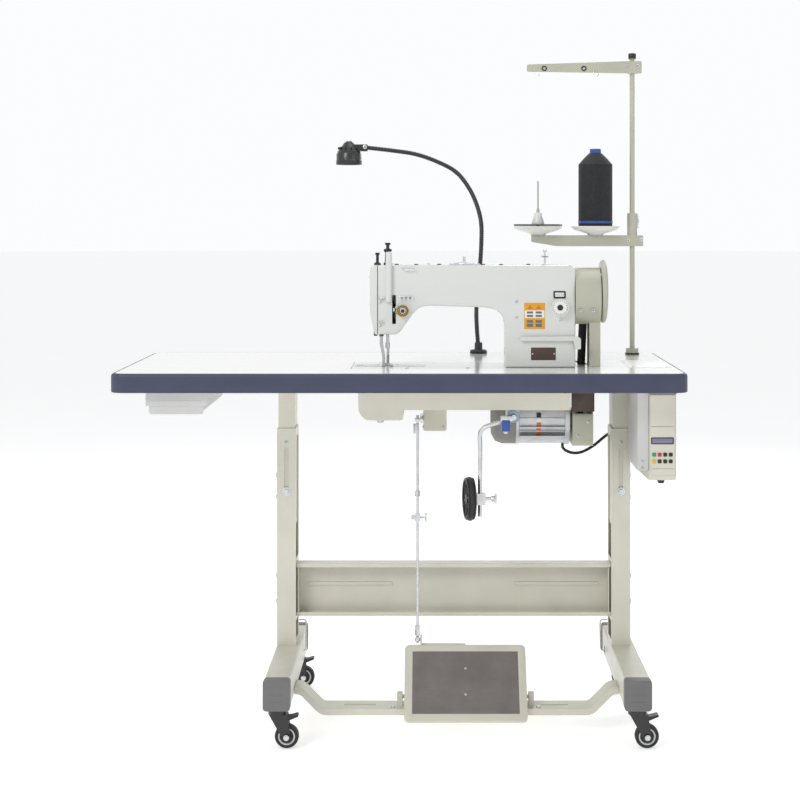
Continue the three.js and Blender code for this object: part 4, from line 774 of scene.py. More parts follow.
for side in ("left", "right"):
    foot_caps(side)
    leg_hardware(side)
crossbar_beads()
for corner in CORNERS:
    caster(corner)
treadle_pieces()
table_moulding()
table_fittings()
drawer_front()


# ---------------------------------------------------------------- machine head
BELT_THICK = 0.0078
WHEEL_STEPS, SPAN_STEPS = 28, 24  # of the belt round a pulley and between the pulleys


def face_plate_details():
    """Screws of the face plate, at the head's left end, and its vents drawn as black strips: painted shade of the
    vent slots.
    """
    plate = Box("face_plate")
    shape = Shape()
    for y in (plate.y0 + 0.014, plate.y1 - 0.014):
        shape.screw((plate.x0, y, plate.z1 - 0.024), "-x", 0.004, 0.0022, "slot")
    shape.screw((plate.x0, plate.y, plate.z0 + 0.062), "-x", 0.004, 0.0022, "slot")
    # black strips (material 1) as painted shade of the vent slots
    for k in range(4):
        z = plate.z1 - 0.05 - 0.01 * k
        shape.block((plate.x0 - 0.0006, plate.y - 0.022, z - 0.0012),
                    (plate.x0 + 0.0004, plate.y + 0.022, z + 0.0012),
                    0.0004, 1)
    shape.piece("face_plate_screws", "head", STEEL_AND_RECESS_SHADE)


def regulators():
    """The two pressure regulators on the head, the presser spring and the hand lifter's stud."""
    arm, bar, foot = Box("machine_arm"), Box("needle_bar"), Box("presser_foot")
    y = bar.y
    shape = Shape()
    x = foot.x0 - 0.0045
    shape.lathe((x, y, arm.z1 - 0.0002), "z",
                mm((0, 0), (7.2, 0), (7.8, 0.8), (7.8, 3.6), (5, 5.2), (3.2, 7), (3, 20),
                   (3.4, 21.6), (4.7, 22.2), (4.9, 22.8), (4.9, 26.2), (4.3, 27), (0, 27)), 40)
    x = bar.x
    shape.lathe((x, y, arm.z1 - 0.0002), "z",
                mm((0, 0), (8.8, 0), (9.2, 1), (9.2, 4), (6.4, 6), (6, 28), (8.2, 29.6),
                   (8.4, 30.4), (8.4, 33.8), (7.8, 34.8), (4.2, 35.6), (3.6, 37.2), (3.6, 43.2),
                   (6, 44.4), (6.2, 45), (6.2, 47.6), (5.4, 48.6), (0, 48.6)), 44)
    for k in range(16):
        angle = 2 * math.pi * k / 16
        place = Vector((x + 0.0084 * math.cos(angle), y + 0.0084 * math.sin(angle), arm.z1 + 0.032))
        shape.block(place - Vector((0.0005, 0.0005, 0.0014)), place + Vector((0.0005, 0.0005,
                                                                              0.0014)), 0.0002,
                    turn=Matrix.Rotation(angle, 3, "Z"))
    shape.piece("pressure_regulators", "head", ["black_plastic"])
    under = Shape()
    under.coil((foot.x0 + 0.004, y, Box("face_plate").z0 - 0.0066), "z", 0.005, 0.0008, 0.007, 3)
    under.piece("presser_spring", "head", ["black_metal"], "black_plastic")
    knob = Shape()
    knob.lathe((foot.x0 - 0.0085, y + 0.004, Box("face_plate").z0 + 0.011), "-z",
               mm((0, 0), (4, 0), (4.4, 1), (4.4, 16), (3.6, 17.2), (0, 17.6)), 28)
    knob.piece("hand_lifter_stud", "head", ["black_metal"], "black_plastic")


def thread_guides():
    """Take-up guard, guide plate, hook, clips, and the tension unit's rings and check spring."""
    arm, lever, dial = Box("machine_arm"), Box("take_up_lever"), at("tension_dial_turn")
    front = arm.y0
    guard = Shape()
    x1 = lever.x0 - 0.0018
    x0 = x1 - 0.0136
    middle, half = (x0 + x1) / 2, (x1 - x0) / 2
    wall = 0.0014
    outer = arc((middle, front - 0.005), half, 180, 360, 18)
    inner = arc((middle, front - 0.005), half - wall, 360, 180, 18)
    section = ([(x0, front + 0.0002)] + outer + [(x1, front + 0.0002),
                                                 (x1 - wall, front + 0.0002)] + inner
               + [(x0 + wall, front + 0.0002)])
    guard.plate(section, "z", arm.z1 - 0.078, arm.z1 - 0.0004, 0.0003)
    guard.lathe((middle, front - 0.005, arm.z1 - 0.0006), "z",
                [(0, 0), (half, 0), (half, 0.0275), (half - 0.0006, 0.029), (half - 0.002, 0.03),
                 (0, 0.0304)], 40)
    guard.piece("take_up_guard", "head", ["head_paint"])
    steel = Shape()
    z1 = arm.z1 - 0.0652
    plate_x = x1 + 0.014
    steel.plate(rounded(plate_x, plate_x + 0.0327, z1 - 0.01, z1, 0.003), "y", front - 0.0024,
                front + 0.0002,
                0.0005)
    for k in range(3):
        steel.lathe((plate_x + 0.0075 + 0.0088 * k, front - 0.0024, z1 - 0.005), "-y",
                    mm((1.6, -0.2), (2.6, -0.2), (2.8, 0.4), (2.4, 0.9), (1.6, 0.9)),
                    24, 1, closed=True)
    hook_x, hook_z = arm.x0 + 0.053, arm.z1 - 0.0012
    steel.tube([(hook_x, front + 0.001, hook_z - 0.004), (hook_x, front - 0.007, hook_z - 0.004),
                (hook_x + 0.004, front - 0.01, hook_z - 0.0045),
                (hook_x + 0.022, front - 0.01, hook_z - 0.005),
                (hook_x + 0.026, front - 0.008, hook_z - 0.0065),
                (hook_x + 0.022, front - 0.0065, hook_z - 0.0085),
                (hook_x + 0.006, front - 0.0065, hook_z - 0.009)], 0.001, 10, steps=5)
    for x, z, wide in ((x0 - 0.0165, arm.z1 - 0.071, 0.015), (x0 - 0.0165, arm.z1 - 0.121, 0.012)):
        steel.tube([(x, front + 0.0006, z), (x, front - 0.0042, z),
                    (x + wide, front - 0.0042, z + 0.0016),
                    (x + wide, front - 0.0042, z - 0.0035), (x + 0.004, front - 0.0042,
                                                             z - 0.0048)], 0.0009, 9,
                   steps=4)
        steel.screw((x + 0.0045, front, z - 0.009), "-y", 0.003, 0.0018, "slot")
    steel.piece("thread_guides", "head", STEEL_AND_RECESS_SHADE)
    rings = Shape()
    rings.lathe((dial.x, front, dial.z), "-y", mm((0, 0), (12.8, 0), (13.2, 0.5), (13.2, 1.4),
                                                  (12.4, 2), (6, 2.2), (0, 2.2)), 44)
    spring_x = dial.x - 0.015
    rings.tube([(dial.x - 0.008, front - 0.0016, dial.z + 0.011),
                (spring_x, front - 0.0026, dial.z + 0.008),
                (spring_x - 0.002, front - 0.0026, dial.z - 0.002),
                (spring_x + 0.003, front - 0.002,
                dial.z - 0.0075)], 0.0006, 8, steps=6)
    rings.piece("tension_base", "head", ["zinc_steel"])
    cap = Box("tension_dial")
    knob = Shape()
    radius = (cap.x1 - cap.x0) / 2
    for k, (inset, colour) in enumerate(((0.0, 0), (0.0018, 1), (0.0036, 0))):
        knob.lathe((dial.x, cap.y0 + 0.0034 - 0.001 * k, dial.z), "-y",
                   [(radius - inset - 0.0016, -0.0004), (radius - inset + 0.0002, -0.0004),
                    (radius - inset + 0.0002, 0.0006), (radius - inset - 0.0016, 0.0008)], 48,
                   colour, closed=True)
    knob.lathe((dial.x, cap.y0, dial.z), "-y", mm((0, -0.8), (4, -0.8), (4.2, 0.2), (3.4, 1),
                                                  (0, 1.2)), 32, 1)
    knob.piece("tension_dial_rings", "tension_dial", ["brass", "black_metal"], "brushed_steel")


def arm_top():
    """Oil hole caps, the tension post and cover screws on top of the arm."""
    arm = Box("machine_arm")
    y = Box("bobbin_winder").y
    caps = Shape()
    for offset, aside in ((0.04, 0.01), (0.083, -0.012), (0.133, 0.006), (0.229, 0.002),
                          (0.268, -0.01),
                          (0.328, 0.004)):
        caps.lathe((arm.x0 + offset, y + aside, arm.z1 - 0.0003), "z",
                   mm((0, 0), (4.4, 0), (4.7, 0.6), (4.6, 1.6), (3.8, 2.4), (0, 2.7)), 28)
    caps.piece("oil_caps", "head", ["dark_red"], "black_plastic")
    post = Shape()
    x = arm.x0 + 0.3644
    post.lathe((x, arm.y, arm.z1 - 0.0003), "z",
               mm((0, 0), (6, 0), (6, 2), (2.6, 3), (2.4, 16), (9, 17), (9.4, 17.6), (9, 18.2),
                  (3, 18.6), (9, 19), (9.4, 19.6), (9, 20.2), (2.4, 21), (2.4, 29), (4.6, 29.6),
                  (4.6, 33), (3.4, 34.2), (0, 34.4)), 36)
    for offset in (0.03, 0.11, 0.2):
        post.screw((arm.x0 + offset, arm.y1 - 0.01, arm.z1), "z", 0.0036, 0.0014, "slot")
    post.piece("winder_tension_post", "head", STEEL_AND_RECESS_SHADE)


def arm_front():
    """Stitch window, dial scale, a plain colour label, a plain plate and screws on the front."""
    arm, dial = Box("machine_arm"), Box("stitch_dial")
    front, centre = arm.y0, at("stitch_dial_turn")
    shape = Shape()
    shape.plate(rounded(centre.x - 0.0135, centre.x + 0.013, centre.z + 0.019, centre.z + 0.035,
                        0.002), "y",
                front - 0.0009, front + 0.0002, 0.0003, 1)
    shape.plate(rounded(centre.x - 0.01, centre.x + 0.0095, centre.z + 0.0225, centre.z + 0.0315,
                        0.001), "y",
                front - 0.0012, front - 0.0006, 0.0001, 0)
    for k in range(5):
        x = centre.x - 0.008 + 0.004 * k
        shape.block((x - 0.0003, front - 0.0014, centre.z + 0.025),
                    (x + 0.0003, front - 0.001, centre.z + 0.029),
                    0, 1)
    x0, z0 = arm.x0 + 0.3295, arm.z0 + 0.0145
    shape.plate(rounded(x0, x0 + 0.0558, z0, z0 + 0.0296, 0.002), "y", front - 0.0008,
                front + 0.0002, 0.0003, 0)
    shape.plate(rounded(x0 + 0.001, x0 + 0.0548, z0 + 0.001, z0 + 0.0286, 0.0012), "y",
                front - 0.0011,
                front - 0.0006, 0.0001, 2)
    for x in (x0 + 0.0045, x0 + 0.0513):
        shape.screw((x, front - 0.001, z0 + 0.0148), "-y", 0.0016, 0.0008, "slot")
    shape.piece("arm_plates", "head", ["white_plastic", "black_plastic", "brown_cover"])
    label = Shape()
    x0, z0 = arm.x0 + 0.3161, arm.z1 - 0.137
    wide, high = 0.0449, 0.0566
    label.plate(rounded(x0, x0 + wide, z0, z0 + high, 0.0012), "y", front - 0.0003, front + 0.0002,
                0, 0)
    label.plate(rounded(x0 + 0.0014, x0 + wide - 0.0014, z0 + high * 0.42, z0 + high * 0.71,
                        0.0008), "y",
                front - 0.0005, front - 0.0002, 0, 1)
    for x in (x0 + wide * 0.28, x0 + wide * 0.7):
        label.plate([(x - 0.0062, z0 + high * 0.76), (x + 0.0062, z0 + high * 0.76),
                     (x, z0 + high * 0.93)], "y",
                    front - 0.0005, front - 0.0002, 0, 2)
        for low, tall in ((0.08, 0.12), (0.24, 0.1), (0.46, 0.08), (0.59, 0.08)):
            label.block((x - 0.0066, front - 0.0007, z0 + high * low), (x + 0.0066, front - 0.0004,
                        z0 + high * (low + tall)), 0, 3)
    label.piece("caution_label", "head", ["label_yellow", "white_plastic", "label_orange",
                                          "dark_grey_plastic"],
                "white_plastic")
    scale = Shape()
    radius = (dial.x1 - dial.x0) / 2
    face = dial.y0
    for k in range(20):
        angle = 2 * math.pi * k / 20
        reach = radius - (0.0042 if k % 2 else 0.0058)
        along = Vector((math.sin(angle), 0, math.cos(angle)))
        inner, outer = centre + along * reach, centre + along * (radius - 0.002)
        scale.tube([(inner.x, face, inner.z), (outer.x, face, outer.z)], 0.00035, 6, 1)
    scale.lathe((centre.x, face, centre.z), "-y", mm((0, -1), (6.2, -1), (6.4, 0.2), (5.8, 1),
                                                     (3, 1.2), (0, 1.2)), 36, 1)
    scale.lathe((centre.x, face, centre.z), "-y", [(radius - 0.0012, -0.0006),
                                                   (radius + 0.0002, -0.0006),
                                                   (radius + 0.0002, 0.0002),
                                                   (radius - 0.0012, 0.0004)],
                56, closed=True)
    scale.piece("stitch_dial_scale", "stitch_dial", ["white_plastic", "black_plastic"])
    stop = Shape()
    stop.lathe((arm.x0 + 0.402, Box("reverse_lever").y1, Box("reverse_lever").z), "y",
               mm((0, -0.2), (4.6, -0.2), (4.6, 4), (0, 4)), 24)
    for x, z in ((0.3, 0.078), (0.395, 0.118), (0.3, 0.112)):
        stop.screw((arm.x0 + x, front, arm.z1 - z), "-y", 0.0036, 0.0014, "slot")
    stop.piece("arm_front_screws", "head", STEEL_AND_RECESS_SHADE)


def winder_details():
    """The bobbin winder's bracket and its screws."""
    arm, winder = Box("machine_arm"), Box("bobbin_winder")
    shape = Shape()
    shape.plate(rounded(winder.x0 - 0.01, winder.x1 + 0.01, winder.y0 - 0.006, winder.y0 + 0.01,
                        0.003), "z",
                arm.z1 - 0.0002, arm.z1 + 0.0022, 0.0006)
    shape.screw((winder.x0 - 0.006, winder.y0 + 0.002, arm.z1 + 0.0022), "z", 0.003, 0.0014, "slot")
    shape.screw((winder.x1 + 0.006, winder.y0 + 0.002, arm.z1 + 0.0022), "z", 0.003, 0.0014, "slot")
    shape.piece("winder_bracket", "head", STEEL_AND_RECESS_SHADE)


def guard_details():
    """Screws of the upper belt guard."""
    guard, arm = Box("upper_belt_guard"), Box("machine_arm")
    shape = Shape()
    for x in (0.0106, 0.0376):
        shape.screw((guard.x0 + x, guard.y0 + 0.001, arm.z1 - 0.0968), "-y", 0.004, 0.002)
    for z in (guard.z1 - 0.016, guard.z1 - 0.09):
        shape.screw((guard.x1, guard.y0 + 0.022, z), "x", 0.004, 0.002)
    shape.piece("guard_screws", "head", STEEL_AND_RECESS_SHADE)


def handwheel_details():
    """Rounded rim and hub cap of the handwheel, with its screw."""
    wheel, centre = Box("handwheel"), at("handwheel_turn")
    radius = (wheel.y1 - wheel.y0) / 2
    rim = Shape()
    half = 0.006
    middle = wheel.x1 - half
    rim.lathe((middle, centre.y, centre.z), "x",
              [(radius - half + half * math.cos(a), half * math.sin(a))
               for a in (2 * math.pi * k / 20 for k in range(20))], 72, closed=True)
    rim.piece("handwheel_rim", "handwheel", ["guard_paint"])
    hub = Shape()
    hub.lathe((wheel.x1, centre.y, centre.z), "x",
              mm((0, -1), (15, -1), (16, -0.2), (15, 1.2), (0, 1.6)), 44)
    # the slot drive is a black bar: painted shade of the recess
    hub.screw((wheel.x1 + 0.0014, centre.y, centre.z), "x", 0.0052, 0.0016, "slot", 1, 2)
    hub.piece("handwheel_cap", "handwheel", ["guard_paint", "zinc_steel", "black_plastic"])


def bed_details():
    """Needle plate with hole, feed slots drawn as black strips of painted shade, teeth, slide plates, screws and
    plugs.
    """
    bed, needle = Box("machine_bed"), Box("needle_bar")
    top, proud = bed.z1, 0.0003
    hole = 0.0032
    shape = Shape()
    x0, x1, y0, y1 = needle.x - 0.027, needle.x + 0.027, needle.y - 0.029, needle.y + 0.029
    low, high = top - 0.0005, top + proud
    shape.plate([(x0, y0), (needle.x, y0)] + arc((needle.x, needle.y), hole, 270, 90, 10) +
                [(needle.x, y1), (x0, y1)], "z", low, high, 0)
    shape.plate([(x1, y1), (needle.x, y1)] + arc((needle.x, needle.y), hole, 90, -90, 10) +
                [(needle.x, y0), (x1, y0)], "z", low, high, 0)
    for side in (-1, 1):
        # each feed slot is a black strip (material 1): painted shade of the opening
        slot = needle.x + side * 0.0085
        shape.block((slot - 0.0018, needle.y - 0.018, high - 0.0002),
                    (slot + 0.0018, needle.y + 0.014,
                    high + 0.00015), 0, 1)
        for k in range(12):
            tooth = needle.y - 0.0165 + 0.0025 * k
            shape.block((slot - 0.0015, tooth, high), (slot + 0.0015, tooth + 0.0011,
                                                       high + 0.0003), 0.0001, 0)
    for x in (x0 + 0.006, x1 - 0.006):
        for y in (y0 + 0.006, y1 - 0.006):
            shape.screw((x, y, high - 0.0002), "z", 0.0026, 0.0004, "slot")
    left, right = bed.x0 + 0.004, x0 - 0.0006
    shape.plate(rounded(left, right, y0, y1, 0.001), "z", low, high, 0)
    shape.plate(rounded(x1 + 0.0006, x1 + 0.056, y0, y1, 0.001), "z", low, high, 0)
    shape.lathe((left + 0.012, needle.y, high - 0.0002), "z",
                mm((4.6, 0), (6.6, 0), (6.6, 0.3), (4.6, 0.3)), 32, 1, closed=True)
    shape.piece("needle_and_slide_plates", "head", ["brushed_steel", "black_plastic"])
    plugs = Shape()
    for x, y in ((bed.x1 - 0.03, bed.y0 + 0.014), (bed.x0 + 0.12, bed.y0 + 0.014),
                 (bed.x0 + 0.25, bed.y0 + 0.016)):
        plugs.screw((x, y, top), "z", 0.0042, 0.001, "slot")
    for x in (bed.x0 + 0.06, bed.x1 - 0.05):
        plugs.lathe((x, bed.y1 - 0.006, top - 0.0002), "z", mm((0, 0), (6, 0), (6, 0.6), (0, 0.8)),
                    28)
    plugs.piece("bed_screws", "head", STEEL_AND_RECESS_SHADE)


def drive_belt():
    """The V-belt, a closed loop round both pulleys, running between table and head."""
    box, upper, lower = Box("belt"), at("handwheel_turn"), at("motor_pulley_turn")
    radii = box.z1 - upper.z, lower.z - box.z0
    start, end = Vector((lower.y, lower.z)), Vector((upper.y, upper.z))
    along = end - start
    lean = math.acos((radii[1] - radii[0]) / along.length)
    base = math.atan2(along.y, along.x)
    thick, half = BELT_THICK, (box.x1 - box.x0) / 2
    section = ((0, half), (0, -half), (thick * 0.3, -half), (thick, -half * 0.62),
               (thick, half * 0.62),
               (thick * 0.3, half))
    stations = []
    for centre, radius, first, last in ((end, radii[0], base - lean, base + lean),
                                        (start, radii[1], base + lean, base + 2 * math.pi - lean)):
        stations += [(centre, radius, first + (last - first) * k / WHEEL_STEPS)
                     for k in range(WHEEL_STEPS + 1)]
    spread_out = []
    for (c0, r0, a0), (c1, r1, _) in zip(stations, stations[1:] + stations[:1]):
        spread_out.append((c0, r0, a0))
        if (c0 - c1).length > 1e-6:
            for k in range(1, SPAN_STEPS):
                t = k / SPAN_STEPS
                spread_out.append((c0.lerp(c1, t), r0 + (r1 - r0) * t, a0))
    shape, rings = Shape(), []
    for centre, radius, angle in spread_out:
        out = Vector((math.cos(angle), math.sin(angle)))
        rings.append([(box.x + x, *(centre + out * (radius - inset))) for inset, x in section])
    shape.skin(rings)
    belt = shape.piece("drive_belt", None, ["belt_rubber"], replaces=("belt",))
    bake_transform(belt)


face_plate_details()
regulators()
thread_guides()
arm_top()
arm_front()
winder_details()
guard_details()
handwheel_details()
bed_details()
drive_belt()


# ---------------------------------------------------------------- under the table
PAD_TURN = math.radians(8)


def motor_details():
    """End plates, cooling rails, tie bolts, a plain sticker and vents of the drive motor; the vents are black
    strips and the bolts' hex sockets dark hexagons, both painted shade.
    """
    body, cap = Box("motor_body"), Box("motor_end_cap")
    axis = at("motor_pulley_turn")
    radius = (cap.y1 - cap.y0) / 2
    shape = Shape()
    shape.lathe((body.x1 - 0.012, axis.y, axis.z), "x",
                [(radius - 0.01, 0), (radius - 0.0005, 0), (radius + 0.001, 0.0012),
                 (radius + 0.001, 0.0112),
                 (radius - 0.0005, 0.0124), (radius - 0.01, 0.0124)], 72, closed=True)
    shape.lathe((body.x0 - 0.0004, axis.y, axis.z), "x",
                [(radius - 0.01, 0), (radius, 0), (radius + 0.0008, 0.001),
                 (radius + 0.0008, 0.0065),
                 (radius, 0.0075), (radius - 0.01, 0.0075)], 72, closed=True)
    for k in range(2):
        z = axis.z - 0.029 - 0.015 * k
        reach = math.sqrt(max(radius ** 2 - (z - axis.z) ** 2, 0)) + 0.0012
        shape.block((body.x0 + 0.007, axis.y - reach, z - 0.0014),
                    (body.x1 - 0.0125, axis.y - reach + 0.012,
                    z + 0.0014), 0.0008, 0)
    for angle in (35, 145, 215, 325):
        along = Vector((0, math.cos(math.radians(angle)),
                        math.sin(math.radians(angle)))) * (radius - 0.011)
        # the hex sockets are dark hexagons: painted shade of the recesses
        shape.screw(Vector((body.x1, axis.y, axis.z)) + along, "x", 0.0044, 0.0026, "hex", 1, 2)
    shape.piece("motor_frame_details", "table", ["motor_alloy", "zinc_steel", "black_plastic"])
    vents = Shape()
    # the vent slots are black strips (material 1): painted shade
    for k in range(7):
        z = axis.z - 0.03 + 0.01 * k
        vents.block((cap.x0 - 0.0003, axis.y - 0.026, z - 0.0018),
                    (cap.x0 + 0.0006, axis.y + 0.026, z + 0.0018),
                    0.0003, 1)
    for angle in (45, 135, 225, 315):
        along = Vector((0, math.cos(math.radians(angle)), math.sin(math.radians(angle)))) * 0.035
        vents.screw(Vector((cap.x0, axis.y, axis.z)) + along, "-x", 0.003, 0.0018)
    vents.piece("motor_cap_vents", "table", STEEL_AND_RECESS_SHADE, "grey_plastic")
    sticker = Shape()
    x = body.x0 + 0.045
    for low, high, colour in ((-42, -8, 0), (-8, 2, 1), (2, 12, 2)):
        points = arc((axis.y, axis.z), radius - 0.0004, 180 - high, 180 - low, 12)
        outside = arc((axis.y, axis.z), radius - 0.0016, 180 - low, 180 - high, 12)
        sticker.plate(points + outside, "x", x, x + 0.01, 0, colour)
    sticker.piece("motor_sticker", "table", ["label_orange", "white_plastic", "black_plastic"],
                  "white_plastic")


def guard_and_cover():
    """Screws of the lower belt guard and the brown cover before the belt, under the table."""
    guard, top = Box("lower_belt_guard"), Box("table_top")
    shape = Shape()
    shape.screw((guard.x0 + 0.0115, guard.y0, guard.z0 + 0.024), "-y", 0.0042, 0.0022)
    shape.screw((guard.x1 - 0.011, guard.y0, guard.z0 + 0.055), "-y", 0.0036, 0.002)
    for y in (guard.y0 + 0.03, guard.y1 - 0.03):
        shape.screw((guard.x1, y, guard.z0 + 0.02), "x", 0.004, 0.002)
    shape.piece("lower_guard_screws", "table", STEEL_AND_RECESS_SHADE)
    cover = Shape()
    y, low = guard.y0 - 0.03, at("motor_pulley_turn").z + 0.019
    cover.plate(rounded(guard.x0 - 0.005, guard.x1, low, top.z0 - 0.0002, 0.003), "y", y,
                y + 0.0016, 0.0005)
    cover.block((guard.x1 - 0.0018, y + 0.0008, low), (guard.x1, y + 0.08, top.z0 - 0.0002), 0.0004)
    cover.piece("belt_cover", "table", ["brown_cover"], "black_plastic")


def control_details():
    """Top lip, screen, keys and two lines on the control box, its screws and its sockets."""
    box, panel, sink = Box("control_box"), Box("control_panel"), Box("control_heat_sink")
    face = panel.y0
    shape = Shape()
    shape.plate(rounded(box.x0 - 0.0006, box.x1 + 0.0006, panel.z1 + 0.001, panel.z1 + 0.0085,
                        0.0015), "y",
                face - 0.0012, box.y0 + 0.01, 0.0008, 0, 3)
    x0, x1 = panel.x0 + 0.0042, panel.x1 - 0.0056
    screen = panel.z1 - 0.0975
    shape.plate(rounded(x0 - 0.0025, x1 + 0.0025, screen - 0.007, screen + 0.0075, 0.002), "y",
                face - 0.0008,
                face + 0.0003, 0.0003, 1)
    shape.plate(rounded(x0, x1, screen - 0.0048, screen + 0.0054, 0.001), "y", face - 0.0012,
                face - 0.0005,
                0.0001, 2)
    colours = ((4, 5, 1, 1), (6, 1, 1, 1))
    for row, keys in enumerate(colours):
        for column, colour in enumerate(keys):
            x = x0 + 0.004 + 0.0117 * column
            z = screen - 0.029 - 0.0142 * row
            shape.plate(rounded(x - 0.004, x + 0.004, z - 0.004, z + 0.004, 0.0012), "y",
                        face - 0.0013,
                        face + 0.0002, 0.0005, colour)
    shape.block((x0 - 0.002, face - 0.0003, screen - 0.0596), (x1 + 0.002, face + 0.0002,
                                                               screen - 0.0588), 0, 0)
    shape.block((x0 - 0.002, face - 0.0003, screen + 0.03), (x1 + 0.002, face + 0.0002,
                                                             screen + 0.0308), 0, 0)
    shape.piece("control_face", "table", ["grey_plastic", "black_plastic", "screen", "grey_plastic",
                                          "key_green",
                                          "key_red", "key_yellow"])
    fittings = Shape()
    for z in (panel.z0 + 0.019, panel.z0 + 0.004):
        fittings.screw((sink.x0 + 0.011, sink.y0, z + 0.01), "-y", 0.0036, 0.002)
    for y in (box.y0 + 0.02, box.y1 - 0.02):
        for z in (box.z0 + 0.022, box.z1 - 0.022):
            fittings.screw((box.x1, y, z), "x", 0.0038, 0.0018)
    fittings.lathe((box.x1, box.y0 + 0.03, box.z1 - 0.056), "x",
                   mm((0, -0.2), (6, -0.2), (6.2, 0.6), (5, 2.6), (0, 3)), 28, 1)
    for k in range(3):
        y = box.y0 + 0.06 + 0.04 * k
        fittings.lathe((box.x + 0.004, y, box.z0), "-z", mm((0, -0.2), (7.5, -0.2), (7.8, 2),
                                                            (6, 6), (0, 6)), 24, 1)
    fittings.piece("control_fittings", "table", STEEL_AND_RECESS_SHADE)


def knee_lifter_details():
    """Rim and spokes of the pad, its clamp's wing screw and the shaft's bracket."""
    pad, rod, pivot = Box("knee_lifter_pad"), Box("knee_lifter_rod"), at("knee_lift")
    facing = Vector((math.cos(PAD_TURN), math.sin(PAD_TURN), 0))
    radius, centre = (pad.z1 - pad.z0) / 2, Vector((pad.x, pad.y, pad.z))
    shape = Shape()
    for side in (-1, 1):
        face = centre + facing * side * 0.0072
        shape.lathe(face, facing, [(radius - 0.005 + 0.003 * math.cos(a), 0.0022 * math.sin(a))
                                   for a in (2 * math.pi * k / 12 for k in range(12))], 64,
                    closed=True)
        shape.lathe(face - facing * side * 0.0028, facing, [(0, -0.003), (0.011, -0.003),
                                                            (0.0116, 0.0), (0.011,
                    0.003), (0, 0.003)], 36)
        across = Vector((0, 0, 1))
        for k in range(6):
            spoke = Matrix.Rotation(math.radians(60 * k + 15), 3, facing) @ across
            shape.tube([face - facing * side * 0.003 + spoke * 0.01, face - facing * side * 0.003
                        + spoke * (radius - 0.007)], 0.0026, 8)
    shape.piece("knee_pad_rim", "knee_lifter", ["black_plastic"])
    grip = Shape()
    x, z = pad.x + 0.047, pad.z
    grip.lathe((x, pad.y, z), "x", mm((0, 0), (5.8, 0), (6.2, 0.8), (6.2, 7), (5.4, 8), (0, 8)), 24)
    grip.block((x + 0.007, pad.y - 0.0012, z - 0.011), (x + 0.012, pad.y + 0.0012, z + 0.011),
               0.0009)
    y, x, z = rod.y0 + 0.006, pivot.x - 0.017, pivot.z - 0.017
    grip.block((x - 0.009, y - 0.012, z - 0.012), (x + 0.009, y + 0.008, z + 0.012), 0.0016, 1)
    grip.block((x - 0.011, y - 0.009, z + 0.01), (x + 0.015, y + 0.008, z + 0.021), 0.0016, 0)
    grip.hex_bolt((x, y - 0.002, z - 0.012), "-z", 0.0048, 0.005)
    grip.piece("knee_clamps", "knee_lifter", ["zinc_steel", "blue_plastic"])
    bracket = Shape()
    pan = Box("oil_pan")
    near = rod.y0 + 0.02
    bracket.lathe((pivot.x, near, pivot.z), "y", mm((6.8, 0), (12.8, 0), (13.4, 0.8), (13.4, 15),
                                                    (12.8, 15.8), (6.8, 15.8)), 40, closed=True)
    bracket.block((pivot.x - 0.02, near + 0.001, pan.z1 - 0.0505), (pivot.x + 0.02, near + 0.0148,
                  pan.z1 - 0.049), 0.0005, 0)
    bracket.piece("knee_shaft_bracket", "table", ["blue_metal"], "zinc_steel")


def pan_and_speed_unit():
    """Drain plug and bolts of the oil pan, and the cover screws of the speed control unit."""
    pan, unit = Box("oil_pan"), Box("speed_unit")
    shape = Shape()
    shape.hex_bolt((pan.x0 + 0.045, pan.y, pan.z0), "-z", 0.007, 0.006)
    for x in (pan.x0 + 0.012, pan.x1 - 0.012):
        shape.screw((x, pan.y0, pan.z1 - 0.012), "-y", 0.0034, 0.0018)
    for x in (unit.x0 + 0.008, unit.x1 - 0.008):
        for z in (unit.z0 + 0.009, unit.z1 - 0.012):
            shape.screw((x, unit.y0, z), "-y", 0.003, 0.0016)
    shape.piece("pan_and_unit_screws", "table", STEEL_AND_RECESS_SHADE)


motor_details()
guard_and_cover()
control_details()
knee_lifter_details()
pan_and_speed_unit()


# ---------------------------------------------------------------- thread stand
def stand_pole_details():
    """Black cap and foot, sleeve and nut of the stand's pole."""
    pole, top = Box("stand_pole"), Box("table_top").z1
    x, y = pole.x, pole.y
    shape = Shape()
    shape.lathe((x, y, pole.z1 - 0.0125), "z", mm((0, 0), (8.6, 0), (9.2, 1), (9.2, 11), (8, 12.8),
                                                  (0, 13.2)), 36)
    shape.lathe((x, y, top), "z", mm((0, 0.6), (17, 0.6), (17.5, 1.4), (16, 4), (9, 5.2), (0, 5.2)),
                40)
    shape.piece("pole_cap_and_foot", "table", ["black_plastic"])
    sleeve = Shape()
    z = Box("spool_arm").z1 - 0.118
    sleeve.lathe((x, y, z + 0.034), "z", mm((6.6, 0), (8.2, 0), (8.6, 0.6), (8.6, 8), (8.2, 8.6),
                                            (6.6, 8.6)), 36, closed=True)
    sleeve.hex_bolt((x, y, top + 0.005), "z", 0.011, 0.008, washer=0)
    sleeve.piece("pole_nuts", "table", ["zinc_steel"])


